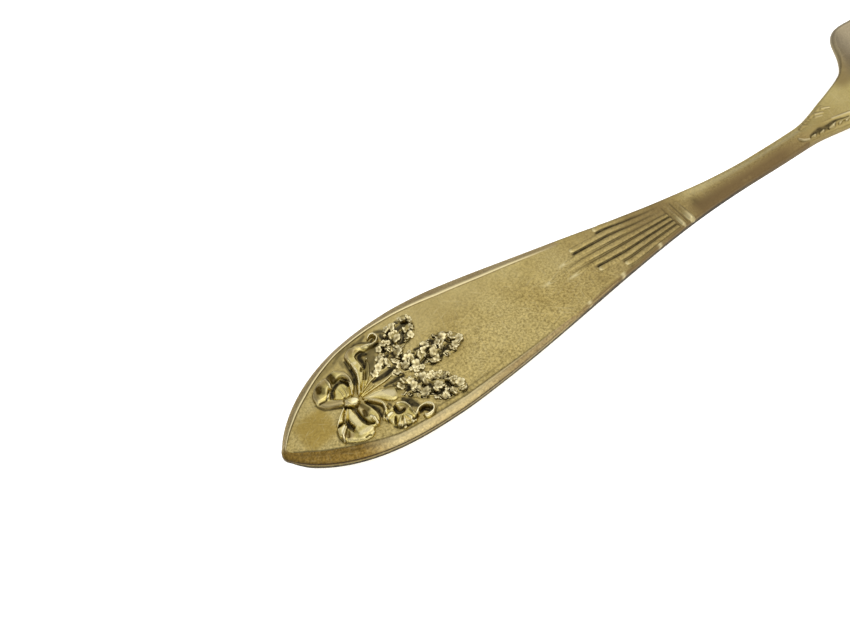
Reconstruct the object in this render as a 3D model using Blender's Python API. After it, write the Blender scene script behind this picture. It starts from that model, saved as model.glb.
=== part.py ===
import math

import bmesh
import bpy
from mathutils import Vector

# Sugar spoon lying bowl up, on the drooped end of its handle and the worn foot of its bowl.
# Sizes are metres. Stations run from the tip of the handle to the front of the bowl.

BLADE_LENGTH = 0.0695
STEM_LENGTH = 0.0255
SHOULDER_LENGTH = 0.0135
BOWL_LENGTH = 0.0465

BLADE_WIDTH = 0.0200
WIDEST_AT = 0.0235
TIP_FULLNESS = 2.6
TIP_ROUNDNESS = 0.75
TIP_RADIUS = 0.0016
WAIST_PAST_COLLAR = 0.0165
WAIST_LEAD = 1.53
BLADE_THICKNESS = 0.0016

STEM_WIDTH = 0.0038
STEM_THICKNESS = 0.0028
STEM_CROWN = 0.0006
STEM_BELLY = 0.0005

TIP_HEIGHT = 0.0010
DROOP_LENGTH = 0.0320
DROOP_RISE = 0.0046
DROOP_POWER = 1.7
HANDLE_SLOPE = 0.029
NECK_LIFT = 0.0010
NECK_POWER = 2.8

LAP_LENGTH = 0.0040
LAP_DEPTH = 0.0005
SOLDER_GAP = 0.0002

SHOULDER_WIDTH = 0.0106
SHOULDER_FLARE = 1.6
SHOULDER_SWEEP = 0.0084
SWEEP_LEAD = 0.0006
SHOULDER_RISE = 0.0010
RISE_LENGTH = 0.0120
BOWL_WIDTH = 0.0268
BOWL_FRONT_LENGTH = 0.0320
BOWL_FRONT_HEIGHT = 0.0098
BOWL_WALL = 0.0012
BOWL_FLOOR = 0.0009
BOWL_SECTION = 2.4

RIM_WIDTH = 0.0012
RIM_TIP = 0.0019
RIM_TO_REEDS = 0.0027
RIM_LIFT = 0.00055
RIM_EDGE = 0.00035

REED_COUNT = 7
REED_LONGEST = 0.0226
REED_STAGGER = 0.0038
REED_PITCH = 0.0013
REED_LIFT = 0.00060
REED_FILL = 0.72

COLLAR_SMALL = 0.0010
COLLAR_LARGE = 0.0014
COLLAR_SPACE = 0.0006
COLLAR_LIFT = 0.00065

RIBBON_WIDTH = 0.0013
RIBBON_LIFT = 0.00095
LOOP_RING = 0.68
KNOT_LENGTH = 0.0022
KNOT_WIDTH = 0.0018
KNOT_LIFT = 0.0014
SPRAY_WIDTH = 0.0033
SPRAY_LIFT = 0.0011
STALK_WIDTH = 0.0004
SPRIG_WIDTH = 0.0009
SPRIG_LIFT = 0.00075
RELIEF_EDGE = 0.00035

SEAM = BLADE_LENGTH + STEM_LENGTH
BOWL_START = SEAM + SHOULDER_LENGTH
FRONT = BOWL_START + BOWL_LENGTH
WAIST = BLADE_LENGTH + WAIST_PAST_COLLAR
BOWL_MIDDLE = FRONT - BOWL_FRONT_LENGTH
FIELD = BLADE_WIDTH / 2 - RIM_WIDTH
REED_STOP = BLADE_LENGTH - COLLAR_SMALL - COLLAR_SPACE
REED_START = REED_STOP - REED_LONGEST
RIM_LENGTH = REED_START + (REED_COUNT - 1) / 2 * REED_STAGGER - RIM_TO_REEDS
STEP = SOLDER_GAP / 4


def ease(share):
    u = min(max(share, 0.0), 1.0)
    return u * u * (3 - 2 * u)


def half_width(s):
    if s >= WAIST:
        return STEM_WIDTH / 2
    if s < WIDEST_AT:
        u = 1 - s / WIDEST_AT
        nose = math.sqrt(max(s * (2 * TIP_RADIUS - s), 0.0))
        return max(nose, BLADE_WIDTH / 2 * (1 - u ** TIP_FULLNESS) ** TIP_ROUNDNESS)
    v = (s - WIDEST_AT) / (WAIST - WIDEST_AT)
    return STEM_WIDTH / 2 + (BLADE_WIDTH - STEM_WIDTH) / 2 * (1 - v ** WAIST_LEAD) ** 2


def field_half_width(s):
    if s >= WIDEST_AT:
        return half_width(s) - RIM_WIDTH
    u = (WIDEST_AT - s) / (WIDEST_AT - RIM_TIP)
    return FIELD * (1 - min(u, 1.0) ** TIP_FULLNESS) ** TIP_ROUNDNESS


def handle_level(s):
    v = min(s / DROOP_LENGTH, 1.0)
    droop = DROOP_RISE * (1 - (1 - v) ** DROOP_POWER)
    lift = NECK_LIFT * (max(s - BLADE_LENGTH, 0.0) / STEM_LENGTH) ** NECK_POWER
    return TIP_HEIGHT + HANDLE_SLOPE * s + droop + lift


def level(s):
    # Past the seam a cubic carries the handle's height and slope on to the front of the bowl,
    # and the shoulders rise above it.
    if s <= SEAM:
        return handle_level(s)
    reach = FRONT - SEAM
    slope = HANDLE_SLOPE + NECK_POWER * NECK_LIFT / STEM_LENGTH
    u = (s - SEAM) / reach
    start = (handle_level(SEAM) * (1 + 2 * u) + slope * reach * u) * (1 - u) ** 2
    front = (BOWL_FRONT_HEIGHT - SHOULDER_RISE) * ease(u)
    return start + front + SHOULDER_RISE * ease((s - SEAM) / RISE_LENGTH)


def stem_share(s):
    # 0 on the flat blade, 1 on the stem, and back to 0 where the bowl begins.
    rise = ease((s - REED_STOP) / (WAIST - REED_STOP))
    return rise * (1 - ease((s - SEAM) / SHOULDER_LENGTH))


def handle_top(s, t):
    if s > SEAM + STEP / 2:
        return level(s) - LAP_DEPTH - SOLDER_GAP
    return level(s) + STEM_CROWN * stem_share(s) * (1 - t * t)


def handle_under(s, t):
    share = stem_share(s)
    depth = BLADE_THICKNESS + (STEM_THICKNESS - BLADE_THICKNESS) * share
    crown = STEM_CROWN * share
    return max(level(s) + crown - depth + STEM_BELLY * share * t * t, 0.0)


def bowl_half_width(s):
    flare = min((s - SEAM) / SHOULDER_LENGTH, 1.0) ** SHOULDER_FLARE
    back = STEM_WIDTH / 2 + (SHOULDER_WIDTH - STEM_WIDTH) / 2 * flare
    sweep = ease((s - BOWL_START + SWEEP_LEAD) / SHOULDER_SWEEP)
    side = back + (BOWL_WIDTH / 2 - back) * sweep
    if s <= BOWL_MIDDLE:
        return side
    u = min((s - BOWL_MIDDLE) / BOWL_FRONT_LENGTH, 1.0)
    return side * (1 - u ** 2.3) ** 0.5


def bowl_depth(s):
    deepest = (BOWL_START + FRONT) / 2
    full = level(deepest) - BOWL_FLOOR
    u = (s - deepest) / (FRONT - deepest)
    if u > 0:
        return full * (1 - min(u, 1.0) ** 2.4) ** 0.9
    return full * (1 - min(-u, 1.0) ** 2) ** 1.5


def bowl_top(s, t):
    crown = STEM_CROWN * stem_share(s) * (1 - t * t)
    return level(s) + crown - bowl_depth(s) * (1 - abs(t) ** BOWL_SECTION)


def brass(name, colour, roughness):
    material = bpy.data.materials.new(name)
    material.use_nodes = True
    shader = material.node_tree.nodes["Principled BSDF"]
    shader.inputs["Base Color"].default_value = (*colour, 1.0)
    shader.inputs["Metallic"].default_value = 1.0
    shader.inputs["Roughness"].default_value = roughness
    return material


def add_part(name, bm, colour, roughness):
    bmesh.ops.remove_doubles(bm, verts=bm.verts[:], dist=0.000002)
    bmesh.ops.dissolve_degenerate(bm, edges=bm.edges[:], dist=0.000001)
    bmesh.ops.recalc_face_normals(bm, faces=bm.faces[:])
    mesh = bpy.data.meshes.new(name)
    bm.to_mesh(mesh)
    bm.free()
    mesh.shade_smooth()
    mesh.set_sharp_from_angle(angle=math.radians(40))
    part = bpy.data.objects.new(name, mesh)
    part.data.materials.append(brass(name, colour, roughness))
    part.parent = spoon
    parts.objects.link(part)
    return part


def sheet(rows, columns, place):
    # An open grid, row by station and column by share of the width, with both kept on its vertices.
    bm = bmesh.new()
    bmesh.ops.create_grid(bm, x_segments=len(rows) - 1, y_segments=len(columns) - 1, size=0.5)
    first = bm.verts.layers.float.new("row")
    second = bm.verts.layers.float.new("column")
    for v in bm.verts:
        v[first] = rows[round((v.co.x + 0.5) * (len(rows) - 1))]
        v[second] = columns[round((v.co.y + 0.5) * (len(columns) - 1))]
        v.co = place(v[first], v[second])
    bmesh.ops.remove_doubles(bm, verts=bm.verts[:], dist=0.000002)
    bm.normal_update()
    return bm, first, second


def thicken(bm, first, second, under):
    # The copy of the sheet goes to its underside and the walls between them close the body.
    facing = bm.verts.layers.float_vector.new("facing")
    for v in bm.verts:
        v[facing] = v.normal if v.normal.z > 0 else -v.normal
    copied = bmesh.ops.extrude_face_region(bm, geom=bm.faces[:])["geom"]
    for v in copied:
        if isinstance(v, bmesh.types.BMVert):
            v.co = under(v[first], v[second], v.co.copy(), v[facing])


def spread(count, start=-1.0, stop=1.0):
    return [start + (stop - start) * i / (count - 1) for i in range(count)]


def relief(name, plan, lift, ground, size, colour, roughness):
    # An applied piece: a grid laid on its ground, raised to its form, and seated on the solder gap.
    def raised(a, b):
        s, y = plan(a, b)
        return Vector((s, y, ground(s, y) + lift(a, b)))

    def seat(a, b, co, facing):
        return Vector((co.x, co.y, ground(co.x, co.y) + SOLDER_GAP))

    bm, first, second = sheet(spread(size[0], 0.0, 1.0), spread(size[1]), raised)
    thicken(bm, first, second, seat)
    return add_part(name, bm, colour, roughness)


def blade_ground(s, y):
    return handle_top(s, y / max(half_width(s), SOLDER_GAP))


def neck_ground(s, y):
    return bowl_top(s, y / max(bowl_half_width(s), SOLDER_GAP))


def through(points, a):
    # Catmull-Rom curve through the points, with its direction.
    last = len(points) - 1
    i = min(int(a * last), last - 1)
    u = a * last - i
    p = [Vector(points[min(max(k, 0), last)]) for k in range(i - 1, i + 3)]
    c1 = p[2] - p[0]
    c2 = 2 * p[0] - 5 * p[1] + 4 * p[2] - p[3]
    c3 = 3 * p[1] - 3 * p[2] + p[3] - p[0]
    spot = p[1] + (c1 * u + c2 * u * u + c3 * u * u * u) / 2
    return spot, (c1 + 2 * c2 * u + 3 * c3 * u * u).normalized()


def on_field(points):
    # Percent of the way to the widest station, and percent of the field's half width.
    return [(a / 100 * WIDEST_AT, b / 100 * FIELD) for a, b in points]


def strip(points, width):
    def plan(a, b):
        spot, way = through(points, a)
        side = b * width(a) / 2
        return spot.x - way.y * side, spot.y + way.x * side
    return plan


for old in list(bpy.data.objects):
    bpy.data.objects.remove(old, do_unlink=True)

parts = bpy.data.collections.new("sugar_spoon")
bpy.context.scene.collection.children.link(parts)
spoon = bpy.data.objects.new("spoon_frame", None)
parts.objects.link(spoon)

FIELD_BRASS = (0.42, 0.32, 0.13)
STEM_BRASS = (0.36, 0.25, 0.10)
RELIEF_BRASS = (0.50, 0.42, 0.22)
WORN_COPPER = (0.34, 0.21, 0.10)


def build_handle():
    rows = [SEAM * u ** 1.5 for u in spread(44, 0.0, 1.0)]
    rows += [SEAM + STEP, SEAM + LAP_LENGTH / 2, SEAM + LAP_LENGTH]

    def place(s, t):
        return Vector((s, t * half_width(s), handle_top(s, t)))

    def under(s, t, co, facing):
        return Vector((co.x, co.y, handle_under(s, t)))

    bm, first, second = sheet(rows, spread(13), place)
    thicken(bm, first, second, under)
    add_part("handle", bm, FIELD_BRASS, 0.38)


def build_bowl():
    start = SEAM + SOLDER_GAP
    heel = start + LAP_LENGTH
    rows = [start, (start + heel) / 2, heel]
    rows += spread(16, heel + STEP, BOWL_MIDDLE)
    rows += [BOWL_MIDDLE + BOWL_FRONT_LENGTH * math.sin(a * math.pi / 2) for a in spread(15, 1 / 14, 1.0)]

    def place(s, t):
        return Vector((s, t * bowl_half_width(s), bowl_top(s, t)))

    def under(s, t, co, facing):
        if s < heel + STEP / 2:
            return Vector((co.x, co.y, level(s) - LAP_DEPTH))
        share = stem_share(s)
        depth = BOWL_WALL + (STEM_THICKNESS - BOWL_WALL) * share - (STEM_CROWN + STEM_BELLY) * share * t * t
        down = facing.lerp(Vector((0, 0, 1)), share).normalized()
        spot = co - down * depth
        spot.z = max(spot.z, 0.0)
        return spot

    bm, first, second = sheet(rows, spread(21), place)
    thicken(bm, first, second, under)
    bowl = add_part("bowl", bm, FIELD_BRASS, 0.36)
    # The frame's origin lies under the middle of the spoon's whole length.
    spoon.location.x = -max(v.co.x for v in bowl.data.vertices) / 2


def build_rim():
    def plan(a, b):
        q = 2 * a - 1
        reach = abs(q) ** 1.7
        outer_s = RIM_LENGTH * reach
        inner_s = RIM_TIP + (RIM_LENGTH - RIM_TIP) * reach
        outer = Vector((outer_s, math.copysign(half_width(outer_s), q)))
        inner = Vector((inner_s, math.copysign(field_half_width(inner_s), q)))
        return inner.lerp(outer, (b + 1) / 2)

    def lift(a, b):
        fade = ease((1 - abs(2 * a - 1)) / 0.25)
        return RIM_EDGE + (RIM_LIFT - RIM_EDGE) * fade * (1 - b) / 2

    relief("rim_border", plan, lift, blade_ground, (61, 4), WORN_COPPER, 0.34)


def build_reeds():
    middle = (REED_COUNT - 1) / 2
    for number in range(REED_COUNT):
        offset = number - middle

        def plan(a, b, offset=offset):
            begin = REED_START + abs(offset) * REED_STAGGER
            s = begin + (REED_STOP - begin) * a
            pitch = min(REED_PITCH, (half_width(s) - SOLDER_GAP) / (middle + 0.5))
            nose = max(1 - (1 - min(a * 12, 1.0)) ** 2, 0.2) ** 0.5
            return s, (offset + b * nose * REED_FILL / 2) * pitch

        def lift(a, b):
            nose = 1 - (1 - min(a * 8, 1.0)) ** 2
            return RELIEF_EDGE + (REED_LIFT - RELIEF_EDGE) * nose * (1 - b * b)

        relief(f"reed_{number + 1}", plan, lift, blade_ground, (19, 5), RELIEF_BRASS, 0.36)


def build_collar():
    def bead(name, station, width):
        def plan(a, b):
            y = (2 * a - 1) * 0.92 * half_width(station + width / 2)
            return station + b * width / 2, y

        def lift(a, b):
            return RELIEF_EDGE + (COLLAR_LIFT - RELIEF_EDGE) * (1 - b * b) * (1 - (2 * a - 1) ** 4)

        relief(name, plan, lift, blade_ground, (13, 5), RELIEF_BRASS, 0.32)

    bead("collar_bead_small", BLADE_LENGTH - COLLAR_SMALL / 2, COLLAR_SMALL)
    bead("collar_bead_large", BLADE_LENGTH + COLLAR_SPACE + COLLAR_LARGE / 2, COLLAR_LARGE)


def build_bow():
    def loop(name, outline):
        # A puffed loop of ribbon: its hem lies on the ground and the ring of the fold stands round a hollow.
        outline = on_field(outline)
        middle = sum((Vector(spot) for spot in outline), Vector((0, 0))) / len(outline)

        def plan(a, b):
            return middle.lerp(through((*outline, outline[0]), a)[0], (b + 1) / 2)

        def lift(a, b):
            inner = ease((b + 1) / 2 / LOOP_RING)
            outer = max((b + 1) / 2 - LOOP_RING, 0.0) / (1 - LOOP_RING)
            return RELIEF_EDGE + (RIBBON_LIFT - RELIEF_EDGE) * (0.3 + 0.7 * inner) * (1 - outer * outer)

        relief(name, plan, lift, blade_ground, (41, 8), RELIEF_BRASS, 0.34)

    def tail(name, points, shares):
        def width(a):
            i = min(int(a * (len(shares) - 1)), len(shares) - 2)
            u = ease(a * (len(shares) - 1) - i)
            return RIBBON_WIDTH * (shares[i] + (shares[i + 1] - shares[i]) * u) / 100

        def lift(a, b):
            return RELIEF_EDGE + (RIBBON_LIFT - RELIEF_EDGE) * (1 - b * b)

        relief(name, strip(on_field(points), width), lift, blade_ground, (43, 5), RELIEF_BRASS, 0.34)

    loop("bow_loop_left",
         ((52, 15), (57, 26), (58, 41), (57, 56), (55, 67), (51, 71), (46, 68), (41, 65),
          (37, 58), (33, 46), (33, 34), (35, 21), (39, 13), (43, 13), (46, 18), (49, 19)))
    loop("bow_loop_right",
         ((44, -4), (40, -4), (36, -9), (33, -19), (31, -33), (32, -45), (36, -57), (41, -67),
          (46, -69), (52, -63), (56, -52), (57, -38), (56, -22), (54, -12), (50, -9)))
    tail("ribbon_tail_left",
         ((56, 17), (60, 26), (63, 37), (64, 52), (64, 69), (67, 79), (71, 80), (76, 72),
          (81, 71), (84, 76), (85, 84), (83, 90)),
         (45, 70, 90, 100, 95, 85, 80, 65, 50, 45, 40, 30))
    tail("ribbon_tail_right",
         ((57, -9), (61, -19), (63, -32), (62, -45), (61, -56), (63, -68), (66, -75), (71, -78),
          (75, -76), (78, -73), (82, -74), (84, -82), (83, -89), (80, -90)),
         (45, 70, 75, 75, 100, 140, 150, 110, 70, 55, 50, 45, 40, 30))

    (knot_s, knot_y), = on_field([(49, 4)])

    def plan(a, b):
        u = 2 * a - 1
        s = knot_s + KNOT_LENGTH / 2 * u * math.sqrt(1 - b * b / 2)
        return s, knot_y + KNOT_WIDTH / 2 * b * math.sqrt(1 - u * u / 2)

    def lift(a, b):
        u = 2 * a - 1
        return RELIEF_EDGE + (KNOT_LIFT - RELIEF_EDGE) * (1 - u * u) * (1 - b * b)

    relief("bow_knot", plan, lift, blade_ground, (9, 9), RELIEF_BRASS, 0.30)


def build_sprays():
    def spray(name, points, florets):
        def body(a):
            # The bare stalk, then the flower head's swelling and its rounded end.
            u = max((a - 0.16) / 0.84, 0.0)
            return u ** 0.6 * (1 - u ** 5) ** 0.6 / 0.78

        def width(a):
            return STALK_WIDTH + (SPRAY_WIDTH - STALK_WIDTH) * body(min(a, 0.995))

        def lift(a, b):
            lumps = math.cos(math.pi * florets * a) ** 2 * math.cos(math.pi * 1.5 * b) ** 2
            head = min(body(min(a, 0.995)) + 0.15, 1.0) * (1 - b * b)
            return RELIEF_EDGE + (SPRAY_LIFT - RELIEF_EDGE) * head * (0.55 + 0.45 * lumps)

        relief(name, strip(on_field(points), width), lift, blade_ground, (45, 13), RELIEF_BRASS, 0.36)

    spray("flower_spray_left", ((61, 13), (68, 17), (76, 29), (86, 45), (96, 60), (108, 78)), 7)
    spray("flower_spray_middle", ((60, 5), (71, 4), (80, 5), (91, 6), (104, 3), (116, 0), (126, -3)), 9)
    spray("flower_spray_right", ((60, -3), (69, -11), (77, -23), (88, -42), (98, -62), (108, -80)), 7)


def build_sprigs():
    def sprig(name, side):
        def plan(a, b):
            s = SEAM + SHOULDER_LENGTH * (0.06 + 0.6 * a)
            lean = side * bowl_half_width(s) * (0.16 + 0.48 * ease(a * 2.2))
            return s, lean + b * SPRIG_WIDTH / 2 * (0.3 + 0.7 * math.sin(math.pi * min(a + 0.05, 0.9)))

        def lift(a, b):
            leaves = 0.55 + 0.45 * math.sin(math.pi * 5 * a) ** 2
            return RELIEF_EDGE + (SPRIG_LIFT - RELIEF_EDGE) * (1 - b * b) * leaves

        relief(name, plan, lift, neck_ground, (25, 5), RELIEF_BRASS, 0.36)

    sprig("shoulder_sprig_left", 1)
    sprig("shoulder_sprig_right", -1)


build_handle()
build_bowl()
build_rim()
build_reeds()
build_collar()
build_bow()
build_sprays()
build_sprigs()
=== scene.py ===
import math
import bmesh
import bpy
import numpy as np
from mathutils import Matrix, Vector


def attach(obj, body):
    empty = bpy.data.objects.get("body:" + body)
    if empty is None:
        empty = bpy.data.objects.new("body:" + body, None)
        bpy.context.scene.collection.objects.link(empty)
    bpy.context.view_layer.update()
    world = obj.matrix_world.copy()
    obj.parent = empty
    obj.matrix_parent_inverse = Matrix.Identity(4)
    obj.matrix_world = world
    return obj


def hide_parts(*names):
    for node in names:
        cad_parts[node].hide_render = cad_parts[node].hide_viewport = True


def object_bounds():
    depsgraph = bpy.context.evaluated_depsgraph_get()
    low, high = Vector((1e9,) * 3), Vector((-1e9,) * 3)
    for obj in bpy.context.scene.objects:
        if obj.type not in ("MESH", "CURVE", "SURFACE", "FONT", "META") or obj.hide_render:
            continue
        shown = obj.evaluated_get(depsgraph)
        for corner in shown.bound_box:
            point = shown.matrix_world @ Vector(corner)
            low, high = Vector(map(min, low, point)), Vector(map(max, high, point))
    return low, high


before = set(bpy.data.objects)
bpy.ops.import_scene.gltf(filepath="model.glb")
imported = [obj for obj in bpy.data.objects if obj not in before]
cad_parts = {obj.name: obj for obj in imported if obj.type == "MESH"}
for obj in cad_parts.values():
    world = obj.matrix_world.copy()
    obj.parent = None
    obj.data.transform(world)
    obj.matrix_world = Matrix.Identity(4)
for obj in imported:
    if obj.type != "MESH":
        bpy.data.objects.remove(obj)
cadLow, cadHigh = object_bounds()
tipX = cadLow[0]                # the handle's tip, where every station below starts
mm = 0.001
print("frame loaded, spoon", [round((high - low) / mm, 1) for low, high in zip(cadLow, cadHigh)], "mm")

# the spoon's own lines, in millimetres from the tip of the handle
line = {
    "bladeLength": 69.5, "stemLength": 25.5, "shoulderLength": 13.5, "bowlLength": 46.5, "reedsToCollar": 1.6,
    "bladeWidth": 20.0, "widestAt": 23.5, "tipFullness": 2.6, "tipRoundness": 0.75, "tipRadius": 1.6,
    "waistPastCollar": 16.5, "waistLead": 1.53, "bladeThick": 1.6,
    "stemWidth": 3.8, "stemThick": 2.8, "stemCrown": 0.3, "stemBelly": 0.5,
    "edgeRadius": 0.42, "stemRadius": 0.5, "radiusLimit": 0.6, "seamLap": 0.1, "leastHalf": 0.05,
    "tipHeight": 1.0, "droopLength": 32.0, "droopRise": 4.6, "droopPower": 1.7,
    "slope": 0.029, "neckLift": 1.0, "neckPower": 2.8, "shoulderRise": 1.0, "riseLength": 12.0,
    "shoulderWidth": 10.6, "shoulderFlare": 1.6, "shoulderSweep": 8.4, "sweepLead": 0.6, "bowlWidth": 26.7,
    "bowlFront": 32.0, "frontFullness": 2.3, "frontHeight": 9.75, "frontRoll": 0.4,
    "bowlWall": 1.1, "bowlFloor": 0.95, "bowlSection": 2.4, "hollowFront": (2.4, 0.9), "hollowBack": (2, 1.5),
}
collarAt = line["bladeLength"]
seamAt = collarAt + line["stemLength"]
bowlAt = seamAt + line["shoulderLength"]
frontAt = bowlAt + line["bowlLength"]
waistAt = collarAt + line["waistPastCollar"]
bowlMiddle = frontAt - line["bowlFront"]
reedStop = collarAt - line["reedsToCollar"]
edgeBend = np.linspace(0, math.pi, 9)[1:-1]     # steps round a long edge, between the faces it joins
tiny = 1e-9


def ease(u):
    u = np.clip(u, 0.0, 1.0)
    return u * u * (3 - 2 * u)


def hump(x, half, power=2):
    # a soft bump round zero, flatter with a higher power
    return np.exp(-(x / half) ** power)


def halfWidth(s):
    s = np.asarray(s, float)
    half, stem, r = line["bladeWidth"] / 2, line["stemWidth"] / 2, line["tipRadius"]
    u = np.clip(1 - s / line["widestAt"], 0, 1)
    tip = half * (1 - u ** line["tipFullness"]) ** line["tipRoundness"]
    nose = np.sqrt(np.clip(2 * r * s - s * s, 0, None)) * (s < r)
    v = np.clip((s - line["widestAt"]) / (waistAt - line["widestAt"]), 0, 1)
    back = stem + (half - stem) * (1 - v ** line["waistLead"]) ** 2
    return np.where(s < line["widestAt"], np.maximum(tip, nose), back)


def handleLevel(s):
    s = np.asarray(s, float)
    v = np.clip(s / line["droopLength"], 0, 1)
    droop = line["droopRise"] * (1 - (1 - v) ** line["droopPower"])
    lift = line["neckLift"] * (np.maximum(s - collarAt, 0) / line["stemLength"]) ** line["neckPower"]
    return line["tipHeight"] + line["slope"] * s + droop + lift


def level(s):
    s = np.asarray(s, float)
    reach = frontAt - seamAt
    rise = line["slope"] + line["neckPower"] * line["neckLift"] / line["stemLength"]
    u = np.clip((s - seamAt) / reach, 0, 1)
    past = (handleLevel(seamAt) * (1 + 2 * u) + rise * reach * u) * (1 - u) ** 2
    past = past + (line["frontHeight"] - line["shoulderRise"]) * ease(u)
    past = past + line["shoulderRise"] * ease((s - seamAt) / line["riseLength"])
    return np.where(s <= seamAt, handleLevel(np.minimum(s, seamAt)), past)


def stemShare(s):
    return ease((s - reedStop) / (waistAt - reedStop)) * (1 - ease((s - seamAt) / line["shoulderLength"]))


def edgeRound(share, half):
    # radius of the long edges, fuller on the stem
    return np.minimum(line["edgeRadius"] + line["stemRadius"] * share, line["radiusLimit"] * half)


def acrossShare(y, half):
    return np.clip(y / np.maximum(half, line["leastHalf"]), -1, 1)


def crown(s, t):
    return line["stemCrown"] * stemShare(s) * (1 - t * t)


def blade(s, y):
    # height of the handle's top face
    return level(s) + crown(s, acrossShare(y, halfWidth(s)))


def curveThrough(points, count):
    # Catmull-Rom run through the drawn points
    p = np.array(points, float)
    p = np.vstack([2 * p[0] - p[1], p, 2 * p[-1] - p[-2]])
    a = np.linspace(0, len(points) - 1, count)
    i = np.minimum(a.astype(int), len(points) - 2)
    u = (a - i)[:, None]
    p0, p1, p2, p3 = p[i], p[i + 1], p[i + 2], p[i + 3]
    return 0.5 * (2 * p1 + (p2 - p0) * u + (2 * p0 - 5 * p1 + 4 * p2 - p3) * u ** 2
                  + (3 * p1 - p0 - 3 * p2 + p3) * u ** 3)


# the rounded sweep from neck to bowl, as far as the photo shows it
shoulderPoints = [
    (95, 1.9), (97, 2.07), (99, 2.47), (101, 2.96), (103, 3.42), (104.9, 3.95), (106.6, 4.55),
    (108.1, 5.28), (109.4, 6.3), (110.5, 7.45), (111.4, 8.65), (112.1, 9.85), (112.7, 10.95), (113.3, 11.8),
    (114, 12.5), (114.9, 13.02), (116, 13.28), (117.3, 13.35),
]
shoulderRun = curveThrough(shoulderPoints, 240)


def bowlHalf(s):
    s = np.asarray(s, float)
    flare = (line["shoulderWidth"] - line["stemWidth"]) / 2
    neckFlare = flare * np.clip((s - seamAt) / line["shoulderLength"], 0, 1) ** line["shoulderFlare"]
    back = line["stemWidth"] / 2 + neckFlare
    sweep = ease((s - bowlAt + line["sweepLead"]) / line["shoulderSweep"])
    side = back + (line["bowlWidth"] / 2 - back) * sweep
    side = np.where((s > shoulderRun[0, 0]) & (s < shoulderRun[-1, 0]), np.interp(s, *shoulderRun.T), side)
    u = np.clip((s - bowlMiddle) / line["bowlFront"], 0, 1)
    return side * (1 - u ** line["frontFullness"]) ** 0.5


def bowlTop(s, t):
    # height of the neck and of the bowl's hollow
    deepest = (bowlAt + frontAt) / 2
    full = level(deepest) - line["bowlFloor"]
    u = (s - deepest) / (frontAt - deepest)
    front, back = ((1 - np.clip(v, 0, 1) ** power) ** root
                   for v, (power, root) in ((u, line["hollowFront"]), (-u, line["hollowBack"])))
    depth = full * np.where(u > 0, front, back)
    return level(s) + crown(s, t) - depth * (1 - np.abs(t) ** line["bowlSection"])


def neck(s, y):
    return bowlTop(s, acrossShare(y, bowlHalf(s)))


# drawing sheets: struck relief is drawn flat on these, then laid on the metal
sheetRules = {
    # blank sheet lies below the metal; slope outside an outline; a patch's lowest edge and its underside
    "pitch": 0.05, "ground": -0.3, "skirt": 1.6, "kept": -0.1, "sole": -0.45,
    # steps from point to point, and how far round a run or a pad the sheet is touched
    "runSteps": 12, "runReach": (2.2, 0.4), "padSteps": 10, "padReach": 0.3,
    # folds: fall to the sides and roundness of the edge; worn folds start below the metal
    "foldFall": 0.7, "foldEdge": (5, 0.5), "wornEdge": (2, 1.5), "wornSunk": 0.05,
    # cuts and marks: softness, then gain and threshold of a mark
    "fade": 1.4, "markGain": (1.7, 0.35),
    # closing: lowest metal that is cut and how fully; reach, gain, threshold and limit of hollows; reach and
    # gain of crests; what a painted glint takes from tarnish and painted shade, and a tint from rub and
    # painted highlight
    "cutFrom": -0.15, "cutFull": (0.2, 0.6), "hollow": (8, 1.5, 0.16, 0.6), "crest": (5, 2.6),
    "glintCleans": 0.8, "tintDulls": 0.6,
}


def newSheet(start, stop, half):
    pitch = sheetRules["pitch"]
    stations, across = np.arange(start, stop, pitch), np.arange(-half, half + pitch / 2, pitch)
    s, y = np.meshgrid(stations, across, indexing="ij")
    layers = ("cut", "stainAndShade", "glint", "tint", "tarnish", "wear")
    return {"corner": np.array((start, -half)), "s": s, "y": y, "pieces": {},
            **{key: np.zeros(s.shape) for key in layers}}


def sheetPart(sheet, run, reach):
    # the part of the sheet that a drawn run can touch
    low = np.maximum(((run.min(0) - reach - sheet["corner"]) / sheetRules["pitch"]).astype(int), 0)
    high = ((run.max(0) + reach - sheet["corner"]) / sheetRules["pitch"]).astype(int) + 1
    return tuple(slice(a, max(b, a + 1)) for a, b in zip(low, high))


def nearRun(sheet, points, widths):
    # round a drawn run: part of the sheet, distance in half widths, side, share along, half width
    run = np.array(points, float)
    if len(points) > 1:
        run = curveThrough(points, sheetRules["runSteps"] * len(points))
    ways = np.gradient(run, axis=0) if len(run) > 1 else np.array([[1.0, 0.0]])
    ways /= np.maximum(np.linalg.norm(ways, axis=1, keepdims=True), tiny)
    shares = np.linspace(0, 1, len(run))
    girth = np.interp(shares, np.linspace(0, 1, len(widths)), widths)
    wide, more = sheetRules["runReach"]
    part = sheetPart(sheet, run, max(widths) * wide + more)
    s, y = sheet["s"][part], sheet["y"][part]
    gap, side, passed, width = (np.full(s.shape, v) for v in (1e9, 0.0, 0.0, 1.0))
    for (ps, py), (ws, wy), a, w in zip(run, ways, shares, girth):
        d = np.hypot(s - ps, y - py) / w
        closer = d < gap
        gap = np.where(closer, d, gap)
        side = np.where(closer, ((y - py) * ws - (s - ps) * wy) / w, side)
        passed = np.where(closer, a, passed)
        width = np.where(closer, w, width)
    return part, gap, np.clip(side, -1, 1), passed, width


def pieceOn(sheet, node):
    return sheet["pieces"].setdefault(node, np.full(sheet["s"].shape, sheetRules["ground"]))


def raiseTo(grid, part, values):
    grid[part] = np.maximum(grid[part], values)


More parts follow.
